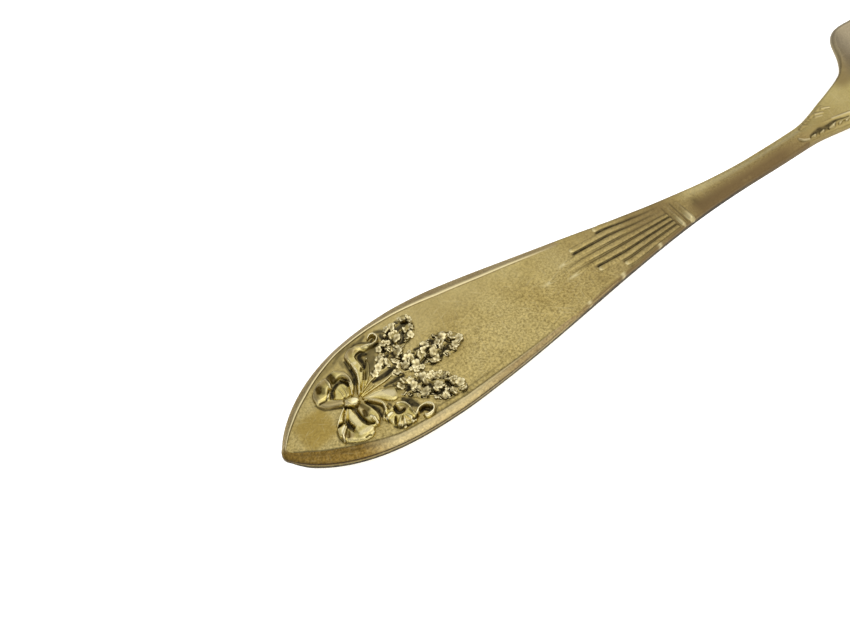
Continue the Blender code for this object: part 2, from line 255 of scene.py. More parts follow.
def drawPad(sheet, node, outline, high, hem):
    # a flat of ribbon inside a drawn outline, with a rounded hem
    steps, n = sheetRules["padSteps"], len(outline)
    loop = curveThrough(outline[-2:] + outline + outline[:2], steps * (n + 3) + 1)[steps:steps * (n + 1)]
    part = sheetPart(sheet, loop, sheetRules["padReach"])
    s, y = sheet["s"][part], sheet["y"][part]
    gap, within = np.full(s.shape, 9.0), np.zeros(s.shape, bool)
    for (ps, py), (qs, qy) in zip(loop, np.roll(loop, -1, axis=0)):
        gap = np.minimum(gap, np.hypot(s - ps, y - py))
        if py != qy:
            within ^= ((py > y) != (qy > y)) & (s < ps + (y - py) * (qs - ps) / (qy - py))
    inside = high * np.sqrt(1 - (1 - np.minimum(gap / hem, 1)) ** 2)
    outside = -np.minimum(sheetRules["skirt"] * gap, -sheetRules["ground"])
    raiseTo(pieceOn(sheet, node), part, np.where(within, inside, outside))


def drawFold(sheet, node, points, widths, heights, soft=False):
    # a rounded crease or stalk along drawn points; a soft one is worn down to a swell
    part, gap, side, passed, width = nearRun(sheet, points, widths)
    top = np.interp(passed, np.linspace(0, 1, len(heights)), heights)
    power, root = sheetRules["wornEdge"] if soft else sheetRules["foldEdge"]
    edge, sunk = np.clip(1 - gap ** power, 0, 1) ** root, sheetRules["wornSunk"]
    inside = top * (1 - sheetRules["foldFall"] * side ** 2) * edge
    if soft:
        inside = (top + sunk) * edge - sunk
    outside = -np.minimum((gap - 1) * width * sheetRules["skirt"], -sheetRules["ground"])
    raiseTo(pieceOn(sheet, node), part, np.where(gap < 1, inside, outside))


def drawMark(sheet, key, points, widths, strength):
    # a soft-edged mark along drawn points: a stain of tarnish and painted shade, a painted glint, a brown
    # tint with some painted shade, or rub with painted highlight
    part, gap = nearRun(sheet, points, widths)[:2]
    gain, least = sheetRules["markGain"]
    raiseTo(sheet[key], part, strength * np.clip(gain * np.exp(-sheetRules["fade"] * gap ** 2) - least, 0, 1))


def drawCut(sheet, points, widths, depth, stainAndShade=1.0):
    # a groove or pocket between folds, darkened at its bottom with tarnish and painted shade
    part, gap = nearRun(sheet, points, widths)[:2]
    raiseTo(sheet["cut"], part, depth * np.exp(-sheetRules["fade"] * gap ** 2))
    drawMark(sheet, "stainAndShade", points, widths, stainAndShade)


def blurred(h, reach):
    k = np.exp(-0.5 * (np.arange(-3 * reach, 3 * reach + 1) / reach) ** 2)
    k /= k.sum()
    h = np.pad(h, 3 * reach, mode="edge")
    for axis in (0, 1):
        h = np.apply_along_axis(lambda r: np.convolve(r, k, "valid"), axis, h)
    return h


def closeSheet(sheet):
    # cut the grooves, then find the hollows that hold tarnish and the crests that are rubbed; drawn stains
    # bring painted shade, glints painted highlights
    rule, whole = sheetRules, np.zeros(sheet["s"].shape)
    rise, start = rule["cutFull"]
    for node, h in sheet["pieces"].items():
        h = np.where(h > rule["cutFrom"], h - sheet["cut"] * np.clip(h / rise + start, 0, 1), h)
        sheet["pieces"][node] = blurred(h, 1)
        whole = np.maximum(whole, sheet["pieces"][node])
    reach, gain, least, most = rule["hollow"]
    hollow = np.clip((blurred(whole, reach) - whole) * gain - least, 0, most)
    sheet["tarnish"] = np.maximum(sheet["stainAndShade"], hollow) * (1 - rule["glintCleans"] * sheet["glint"])
    reach, gain = rule["crest"]
    crest = np.clip((whole - blurred(whole, reach)) * gain, 0, 1)
    rubbedAndHighlighted = crest * (1 - sheet["stainAndShade"]) * (1 - rule["tintDulls"] * sheet["tint"])
    # rubbed crests, with the drawn glints as painted highlights
    sheet["wear"] = np.maximum(rubbedAndHighlighted, sheet["glint"])


def sheetAt(sheet, key, s, y):
    # a layer read between its grid points, nothing off the sheet
    grid = sheet[key]
    i = (s - sheet["corner"][0]) / sheetRules["pitch"]
    j = (y - sheet["corner"][1]) / sheetRules["pitch"]
    on = (i >= 0) & (j >= 0) & (i <= grid.shape[0] - 1) & (j <= grid.shape[1] - 1)
    i0 = np.clip(i.astype(int), 0, grid.shape[0] - 2)
    j0 = np.clip(j.astype(int), 0, grid.shape[1] - 2)
    u, v = np.clip(i - i0, 0, 1), np.clip(j - j0, 0, 1)
    value = (grid[i0, j0] * (1 - u) * (1 - v) + grid[i0 + 1, j0] * u * (1 - v)
             + grid[i0, j0 + 1] * (1 - u) * v + grid[i0 + 1, j0 + 1] * u * v)
    return np.where(on, value, 0.0)


def setMark(mesh, name, values):
    mark = mesh.attributes.get(name) or mesh.attributes.new(name, "FLOAT", "POINT")
    mark.data.foreach_set("value", np.asarray(values, np.float32).ravel())


def linked(name, mesh):
    piece = bpy.data.objects.new(name, mesh)
    bpy.context.scene.collection.objects.link(piece)
    return piece


def inFrame(points):
    # millimetres from the handle's tip become metres in the frame
    co = np.asarray(points, float).reshape(-1, 3) * mm
    co[:, 0] += tipX
    return co


def newPiece(name, points, faces, **marks):
    mesh = bpy.data.meshes.new(name)
    mesh.from_pydata(inFrame(points).tolist(), [], [tuple(int(k) for k in f) for f in faces])
    for mark, values in marks.items():
        setMark(mesh, mark, values)
    bm = bmesh.new()
    bm.from_mesh(mesh)
    bmesh.ops.remove_doubles(bm, verts=bm.verts[:], dist=1e-7)
    bmesh.ops.recalc_face_normals(bm, faces=bm.faces[:])
    for face in bm.faces:
        face.smooth = len(face.verts) < 5
        if not face.smooth:
            for edge in face.edges:
                edge.smooth = False
    bm.to_mesh(mesh)
    bm.free()
    return linked(name, mesh)


def ringFaces(rows, cols):
    i, j = np.meshgrid(np.arange(rows - 1), np.arange(cols), indexing="ij")
    k = (j + 1) % cols
    quads = np.stack([i * cols + j, i * cols + k, (i + 1) * cols + k, (i + 1) * cols + j], -1).reshape(-1, 4)
    caps = [list(range(cols))[::-1], list(range((rows - 1) * cols, rows * cols))]
    return [list(q) for q in quads] + caps


def layPatch(name, sheet, node, ground):
    # a closed patch of relief: its top follows the drawing and its edges sink into the metal below
    h = sheet["pieces"][node]
    keep = np.maximum.reduce([h[:-1, :-1], h[1:, :-1], h[:-1, 1:], h[1:, 1:]]) > sheetRules["kept"]
    rows, cols = h.shape
    count = rows * cols
    faces = []
    for i, j in np.argwhere(keep):
        a, b, c, d = i * cols + j, (i + 1) * cols + j, (i + 1) * cols + j + 1, i * cols + j + 1
        faces.append((a, b, c, d))
        faces.append((a + count, d + count, c + count, b + count))
        for (di, dj), (m, n) in (((-1, 0), (a, d)), ((1, 0), (c, b)), ((0, -1), (b, a)), ((0, 1), (d, c))):
            ni, nj = i + di, j + dj
            if not (0 <= ni < rows - 1 and 0 <= nj < cols - 1 and keep[ni, nj]):
                faces.append((m, n, n + count, m + count))
    used, faces = np.unique(np.array(faces), return_inverse=True)
    s, y = sheet["s"], sheet["y"]
    base = ground(s, y)
    layers = [np.stack([s, y, base + z], -1).reshape(-1, 3) for z in (h, sheetRules["sole"])]
    points = np.concatenate(layers)[used]
    hidden = np.full(count, 0.5)
    marks = {key: np.append(sheet[key].ravel(), hidden)[used] for key in ("tarnish", "wear")}
    marks["umber"] = np.tile(sheet["tint"].ravel(), 2)[used]
    if sheet is not bowSheet:
        marks["umber"] = metalMarks["reliefBrown"] * umberAt(points[:, 0])
    return newPiece(name, points, faces.reshape(-1, 4), **marks)


def finished(piece, slot, material, *nodes):
    piece.data.materials.clear()
    piece.data.materials.append(material)
    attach(piece, "root")
    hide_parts(*nodes)


def nodeKit(tree):
    # short words for a node tree; inputs take values or links, and a node is known by its outputs
    def fill(n, inputs):
        for key, value in inputs.items():
            if isinstance(value, bpy.types.NodeSocket):
                tree.links.new(value, n.inputs[key])
            else:
                n.inputs[key].default_value = value
        return n.outputs

    def add(kind, inputs=None, **settings):
        n = tree.nodes.new(kind)
        for key, value in settings.items():
            setattr(n, key, value)
        return fill(n, inputs or {})

    def maths(op, *values, clamp=False):
        return add("ShaderNodeMath", dict(enumerate(values)), operation=op, use_clamp=clamp)[0]

    def ramp(fac, *stops):
        n = tree.nodes.new("ShaderNodeValToRGB")
        els = n.color_ramp.elements
        while len(els) < len(stops):
            els.new(0.5)
        for el, (at, colour) in zip(els, stops):
            el.position = at
            el.color = (*colour, 1.0)
        return fill(n, {"Fac": fac})["Color"]

    return fill, add, maths, ramp


# brass finishes: three tones of clouding, the colour at the spoon's ends, the brown of bare metal,
# tarnish and painted shade, rubbed metal and painted highlights; calm is how far the grain dies out at the
# ends, below nothing where it grows
brassLooks = {
    "field": {"deep": (0.330, 0.250, 0.085), "mid": (0.390, 0.308, 0.118), "bright": (0.430, 0.350, 0.148),
              "end": (0.300, 0.215, 0.056), "stem": (0.170, 0.115, 0.050), "dark": (0.030, 0.024, 0.013),
              "rubAndHighlight": (0.62, 0.54, 0.30), "rough": 0.42, "scratch": 0.20, "grain": 1.0, "calm": 0.6},
    "bowl": {"deep": (0.340, 0.265, 0.095), "mid": (0.380, 0.305, 0.118), "bright": (0.420, 0.348, 0.150),
             "end": (0.365, 0.305, 0.200), "stem": (0.170, 0.115, 0.050), "dark": (0.032, 0.024, 0.012),
             "rubAndHighlight": (0.58, 0.50, 0.30), "rough": 0.42, "scratch": 0.18, "grain": 0.3, "calm": -1.2},
    "rim": {"deep": (0.270, 0.195, 0.085), "mid": (0.335, 0.258, 0.115), "bright": (0.390, 0.315, 0.150),
            "end": (0.190, 0.120, 0.028), "stem": (0.220, 0.145, 0.074), "dark": (0.034, 0.024, 0.014),
            "rubAndHighlight": (0.66, 0.58, 0.34), "rough": 0.36, "scratch": 0.12, "grain": 0.9, "calm": 0.0},
    "relief": {"deep": (0.410, 0.325, 0.100), "mid": (0.480, 0.392, 0.128), "bright": (0.560, 0.470, 0.180),
               "end": (0.45, 0.36, 0.14), "stem": (0.260, 0.185, 0.085), "dark": (0.050, 0.031, 0.005),
               "rubAndHighlight": (0.90, 0.82, 0.57), "rough": 0.26, "scratch": 0.05, "grain": 0.5, "calm": 0.0},
}
# noises as scale, detail and roughness; ranges and shares in the order they are used
brassRules = {
    "cloud": (130, 5, 0.55), "cloudAt": (0.28, 0.50, 0.74),
    "endTones": ((0.30, 0.84), (0.50, 1.0), (0.70, 1.14)),
    "grain": (3000, 4, 0.65), "grainTones": ((0.34, (0.55, 0.53, 0.49)), (0.66, (1.40, 1.40, 1.40))),
    "farToNear": (0.007, -0.003), "farGrain": 0.40, "nearGrain": 0.75,
    "hair": (4200, 2, 0.5), "hairRange": (0.60, 0.74),
    "hairTurns": (0.35, 1.35, 2.45), "hairStretch": (14.0, 1.0, 2.0),
    "patch": (420, 3, 0.55), "patchRange": (-0.20, 0.45),
    "mottle": (1500, 4, 0.65), "mottleRange": (0.28, 0.60),
    "tarnishBase": 0.74, "tarnishMottle": 0.4, "wearColour": 0.7,
    "grainRough": 0.30, "darkRough": 0.20, "wearShine": 0.08,
    "bump": 0.4, "bumpHeight": 0.00005, "hairDepth": 0.5,
}


def brassFinish(name, look):
    material = bpy.data.materials.new(name)
    material.use_nodes = True
    material.node_tree.nodes.clear()
    add, maths, ramp = nodeKit(material.node_tree)[1:]
    rule = brassRules
    coord = add("ShaderNodeTexCoord")["Object"]

    def mixColour(fac, a, b, mode="MIX"):
        return add("ShaderNodeMix", {0: fac, 6: a, 7: b}, data_type="RGBA", blend_type=mode)[2]

    def noise(key, source=coord):
        scale, detail, rough = rule[key]
        inputs = {"Vector": source, "Scale": scale, "Detail": detail, "Roughness": rough}
        return add("ShaderNodeTexNoise", inputs)["Fac"]

    def between(fac, low, high):
        inputs = {"Value": fac, "From Min": low, "From Max": high}
        return add("ShaderNodeMapRange", inputs, clamp=True)["Result"]

    def mark(key):
        return add("ShaderNodeAttribute", attribute_name=key)["Fac"]

    def plain(key):
        return (*look[key], 1.0)

    # clouded colour of old gilt metal, changed at the spoon's ends
    cloud = noise("cloud")
    colour = ramp(cloud, *zip(rule["cloudAt"], (look["deep"], look["mid"], look["bright"])))
    toEnd = mark("end")
    ended = ramp(cloud, *((at, [share * c for c in look["end"]]) for at, share in rule["endTones"]))
    colour = mixColour(toEnd, colour, ended)

    # a fine grain, smoother on the far side
    grain = noise("grain")
    speckle = maths("SUBTRACT", look["grain"], maths("MULTIPLY", toEnd, look["calm"] * look["grain"]))
    nearer = between(add("ShaderNodeSeparateXYZ", {0: coord})["Y"], *rule["farToNear"])
    nearer = maths("ADD", maths("MULTIPLY", nearer, rule["nearGrain"]), rule["farGrain"])
    speckle = maths("MULTIPLY", speckle, nearer)
    colour = mixColour(speckle, colour, ramp(grain, *rule["grainTones"]), "MULTIPLY")

    # short hairlines lying three ways
    hairs = 0.0
    for turn in rule["hairTurns"]:
        inputs = {"Vector": coord, "Rotation": (0, 0, turn), "Scale": rule["hairStretch"]}
        laid = add("ShaderNodeMapping", inputs, vector_type="TEXTURE")["Vector"]
        hairs = maths("MAXIMUM", hairs, between(noise("hair", laid), *rule["hairRange"]))
    colour = mixColour(maths("MULTIPLY", hairs, look["scratch"]), colour, plain("rubAndHighlight"))

    # brown where the gilding is gone; on some bow folds, on the rim's far side and on the shoulders the brown
    # is partly painted shade
    umber = maths("MULTIPLY", mark("umber"), between(noise("patch"), *rule["patchRange"]))
    colour = mixColour(umber, colour, plain("stem"))

    # dark tarnish in the hollows together with painted shade, then the rub colour on rubbed metal and on
    # painted highlights
    wear = mark("wear")
    mottle = maths("MULTIPLY", between(noise("mottle"), *rule["mottleRange"]), rule["tarnishMottle"])
    darkened = maths("MULTIPLY", mark("tarnish"), maths("ADD", mottle, rule["tarnishBase"]), clamp=True)
    colour = mixColour(darkened, colour, plain("dark"))
    colour = mixColour(maths("MULTIPLY", wear, rule["wearColour"]), colour, plain("rubAndHighlight"))

    rough = maths("ADD", look["rough"], maths("MULTIPLY", maths("SUBTRACT", grain, 0.5), rule["grainRough"]))
    rough = maths("ADD", rough, maths("MULTIPLY", maths("MAXIMUM", darkened, umber), rule["darkRough"]))
    rough = maths("SUBTRACT", rough, maths("MULTIPLY", wear, rule["wearShine"]), clamp=True)
    height = maths("SUBTRACT", grain, maths("MULTIPLY", hairs, rule["hairDepth"]))
    inputs = {"Strength": rule["bump"], "Distance": rule["bumpHeight"], "Height": height}
    bump = add("ShaderNodeBump", inputs)["Normal"]
    metal = {"Base Color": colour, "Metallic": 1.0, "Roughness": rough, "Normal": bump}
    add("ShaderNodeOutputMaterial", {"Surface": add("ShaderNodeBsdfPrincipled", metal)["BSDF"]})
    return material


fieldBrass, bowlBrass, rimBrass, reliefBrass = (
    brassFinish(key + "Brass", brassLooks[key]) for key in ("field", "bowl", "rim", "relief"))
print("finishes made")

# the ribbon bow, millimetres along and across the handle
# pads: outline, height, width of the rounded hem; folds: points, half widths, heights
bowDrawing = {
    "bow_loop_left": {
        "pads": [
            ([(9.8, 2.8), (10.4, 3.8), (11.1, 4.3), (11.9, 4.3), (12.5, 4), (12.8, 3.2), (12.4, 2),
             (12, 1.4), (11.1, 1.5), (10.2, 2.1)], 0.22, 0.2),
            ([(11.2, 1.2), (10.3, 1.9), (9.6, 2.6), (9.3, 3.1), (8.7, 3.4), (8, 3.5), (7.5, 3.3),
             (7.7, 2.6), (8.1, 2), (8.6, 1.6), (9.5, 1.1), (10.6, 0.6)], 0.62, 0.5),
            ([(7.6, 3.3), (7.6, 4.2), (8, 5), (8.5, 5.5), (9.2, 5.9), (10.2, 6), (10.9, 5.9), (11, 5.1),
             (10.8, 4.3), (10.2, 4), (9.7, 3.5), (9.5, 3), (8.8, 2.9), (8, 3)], 0.74, 0.45),
            ([(12.4, 1.2), (13.3, 2.3), (13.6, 3.5), (13.5, 4.8), (13, 5.6), (12.2, 6.2), (11.4, 6.2),
             (10.6, 5.9), (10.8, 5.1), (11.3, 4.5), (11.9, 4.6), (12.5, 4.5), (12.8, 3.9), (12.9, 3.1),
             (12.6, 2.2), (12.2, 1.4)], 0.66, 0.5),
        ],
        "folds": [
            ([(12.2, 1.2), (12.6, 2.2), (12.8, 3.1), (12.7, 3.7), (12.3, 4.4)],
             (0.12, 0.16, 0.2, 0.2, 0.14), (0.7, 0.85, 0.95, 0.95, 0.8)),
            ([(11.7, 1.6), (11.9, 2.5), (11.9, 3.4)], (0.1, 0.14, 0.1), (0.4, 0.44, 0.3)),
            ([(11.9, 1.6), (12.2, 2.3), (12.4, 2.9)], (0.1, 0.14, 0.1), (0.4, 0.44, 0.3)),
            ([(11.2, 1.7), (11.3, 2.6), (11.2, 3.4)], (0.1, 0.14, 0.1), (0.4, 0.42, 0.28)),
            ([(9.7, 3.2), (9.2, 2.8)], (0.26, 0.34), (0.95, 1)),
            ([(10.5, 5.4), (10.5, 4.7), (10.5, 4.1)], (0.4, 0.4, 0.3), (0.85, 0.95, 1)),
        ],
    },
    "bow_loop_right": {
        "pads": [
            ([(10.5, 0.5), (10.5, 0.1), (9.8, -0.6), (9.2, -1.3), (9.1, -1.7), (8.5, -1.7), (7.9, -1.8),
             (8, -1.3), (8.6, -0.7), (9.5, -0.1)], 0.62, 0.4),
            ([(7.8, -1.8), (8.5, -1.8), (9.1, -1.8), (9.1, -2.5), (9.2, -3.2), (9.6, -4), (10.2, -4.7),
             (10.9, -4.6), (11.5, -5), (11.7, -5.6), (11.2, -5.9), (10.7, -6), (9.8, -5.8), (8.8, -5.2),
             (7.9, -4.4), (7.4, -3.6), (7.4, -2.7)], 0.58, 0.5),
            ([(12, -0.6), (12.7, -0.8), (13.1, -1.4), (13.4, -2.3), (13.6, -3.3), (13.4, -4.1), (13, -4.7),
             (12.4, -5), (11.8, -5), (11.3, -4.8), (11.1, -4.3), (11.3, -3.5), (11.4, -2.7), (11.4, -1.8),
             (11.5, -1)], 0.58, 0.5),
            ([(10.5, -0.2), (11, -0.3), (11, -1.1), (11.1, -2), (11.1, -2.9), (11.2, -3.6), (11.6, -4.3),
             (12, -4.9), (11.6, -5.4), (10.7, -5.6), (9.8, -5.2), (9.3, -4.4), (9.4, -3.3), (9.5, -2.3),
             (9.6, -1.6), (10, -0.8)], 0.64, 0.5),
        ],
        "folds": [
            ([(10.5, -0.2), (10, -0.8), (9.4, -1.5), (9.2, -1.9)], (0.12, 0.14, 0.14, 0.12),
             (0.7, 0.8, 0.8, 0.7)),
            ([(10.1, 0.1), (9.3, -0.5), (8.6, -1.1), (8.1, -1.6)], (0.14, 0.24, 0.26, 0.16),
             (0.7, 0.82, 0.82, 0.7)),
            ([(9, -2.4), (8.4, -3), (7.8, -3.5), (7.6, -4.1)], (0.2, 0.34, 0.34, 0.2),
             (0.85, 1.05, 1.05, 0.8)),
            ([(12.4, -3.4), (12.5, -4), (12.5, -4.8)], (0.3, 0.48, 0.3), (0.8, 1.05, 0.85)),
        ],
    },
    "ribbon_tail_left": {
        "pads": [
            ([(13.6, 0.8), (14.5, 1.6), (15.4, 2.8), (15.9, 4), (16.7, 4.6), (16.9, 4.2), (16.3, 3),
             (15.5, 2), (14.5, 1.2)], 0.3, 0.3),
            ([(15.9, 7.5), (16.6, 7.6), (17.3, 7.2), (17.9, 6.8), (18.5, 6.5), (18.9, 6.2), (18.3, 6),
             (17.6, 6), (17.1, 6.3), (16.5, 6.4), (16.3, 6.9)], 0.58, 0.35),
            ([(12.9, 0.8), (13.4, 2), (14.1, 2.9), (14.4, 3.9), (14.4, 5), (14.4, 6.1), (14.6, 7.1),
             (15.2, 7.6), (15.9, 7.8), (16.7, 7.3), (16.7, 6.8), (16.1, 6.3), (15.9, 5.6), (15.9, 4.7),
             (15.7, 3.6), (15.2, 2.8), (14.5, 1.9), (13.8, 1.2), (13.4, 0.6)], 0.7, 0.6),
        ],
        "folds": [
            ([(17.4, 6.7), (18.1, 6.4), (18.6, 6.1), (19.3, 6.1), (19.8, 6.5), (19.9, 7), (19.7, 7.5),
             (19.2, 7.6), (18.8, 7.4)], (0.24, 0.26, 0.26, 0.25, 0.25, 0.24, 0.22, 0.2, 0.14),
             (0.7, 0.85, 0.9, 0.95, 1, 0.95, 0.9, 0.8, 0.6)),
            ([(15.8, 6.2), (16.3, 6.5), (16.9, 6.5), (17.4, 6.1)], (0.12, 0.15, 0.15, 0.12),
             (0.7, 0.76, 0.76, 0.65)),
            ([(16.8, 4.7), (16.9, 4.7)], (0.16, 0.14), (0.66, 0.62)),
            ([(12.9, 0.5), (13.5, 1.4), (14, 2.2), (14.5, 3.6), (14.7, 5)], (0.1, 0.2, 0.3, 0.4, 0.4),
             (0.7, 0.82, 0.86, 0.9, 0.9)),
            ([(13.5, 0.6), (14.2, 1.4), (14.8, 2.1)], (0.1, 0.14, 0.1), (0.5, 0.62, 0.5)),
        ],
    },
    "ribbon_tail_right": {
        "pads": [
            ([(14.2, -4.3), (14.9, -3.9), (15.8, -3.7), (16.5, -3.8), (17.2, -4.1), (17.6, -4.9),
             (17.6, -5.9), (17.4, -6.7), (17.2, -7.6), (16.3, -7.7), (15.2, -7.5), (14.4, -6.9), (14, -5.9),
             (13.8, -5)], 0.42, 0.35),
            ([(13, 0), (13.7, -0.5), (14.5, -1.3), (15.1, -2.2), (15.3, -3.1), (15, -3.8), (14.5, -4.4),
             (13.8, -4.8), (13.4, -4.8), (13.8, -4), (14.3, -3.5), (14.4, -2.7), (14, -1.7), (13.3, -0.8)],
             0.68, 0.5),
        ],
        "folds": [
            ([(15.2, -4.8), (14.7, -4.8), (14.1, -4.9)], (0.3, 0.45, 0.5), (0.5, 0.72, 0.8)),
            ([(15.8, -5.9), (15.2, -6.4), (14.7, -6.9)], (0.2, 0.36, 0.42), (0.5, 0.64, 0.68)),
            ([(16, -6), (15.6, -6.8), (15.3, -7.4)], (0.22, 0.42, 0.48), (0.5, 0.7, 0.74)),
            ([(16.3, -6.1), (16.5, -6.9), (16.5, -7.4)], (0.26, 0.46, 0.5), (0.5, 0.7, 0.74)),
            ([(15.5, -4.2), (16.2, -4), (17, -4.4), (17.3, -5.2), (17.3, -6.2), (17.2, -6.9)],
             (0.14, 0.18, 0.2, 0.2, 0.18, 0.14), (0.6, 0.68, 0.7, 0.7, 0.68, 0.6)),
            ([(16.9, -7.6), (17.6, -6.9), (18.3, -6.6), (19.1, -6.6), (19.6, -6.9), (19.8, -7.5),
             (19.4, -8.1), (18.8, -8.2), (18.4, -8.1), (18.3, -7.8)],
             (0.28, 0.32, 0.34, 0.38, 0.4, 0.4, 0.38, 0.34, 0.3, 0.22),
             (0.6, 0.75, 0.88, 0.95, 1, 1, 0.92, 0.8, 0.75, 0.65)),
            ([(13.1, -0.7), (14, -1.6), (14.7, -2.7), (14.6, -3.7)], (0.14, 0.24, 0.3, 0.3),
             (0.7, 0.8, 0.85, 0.85)),
        ],
    },
    "bow_knot": {
        "pads": [
            ([(10.3, 0.2), (10.6, 0.8), (11, 1.1), (12, 0.8), (12.5, 0.3), (12.6, -0.3), (12.1, -0.7),
             (11.6, -0.7), (10.9, -0.3)], 1, 0.55),
        ],
        "folds": [
            ([(10.8, 0.8), (11, 0.3), (11.3, -0.2)], (0.24, 0.28, 0.24), (1, 1.15, 1)),
        ],
    },
}
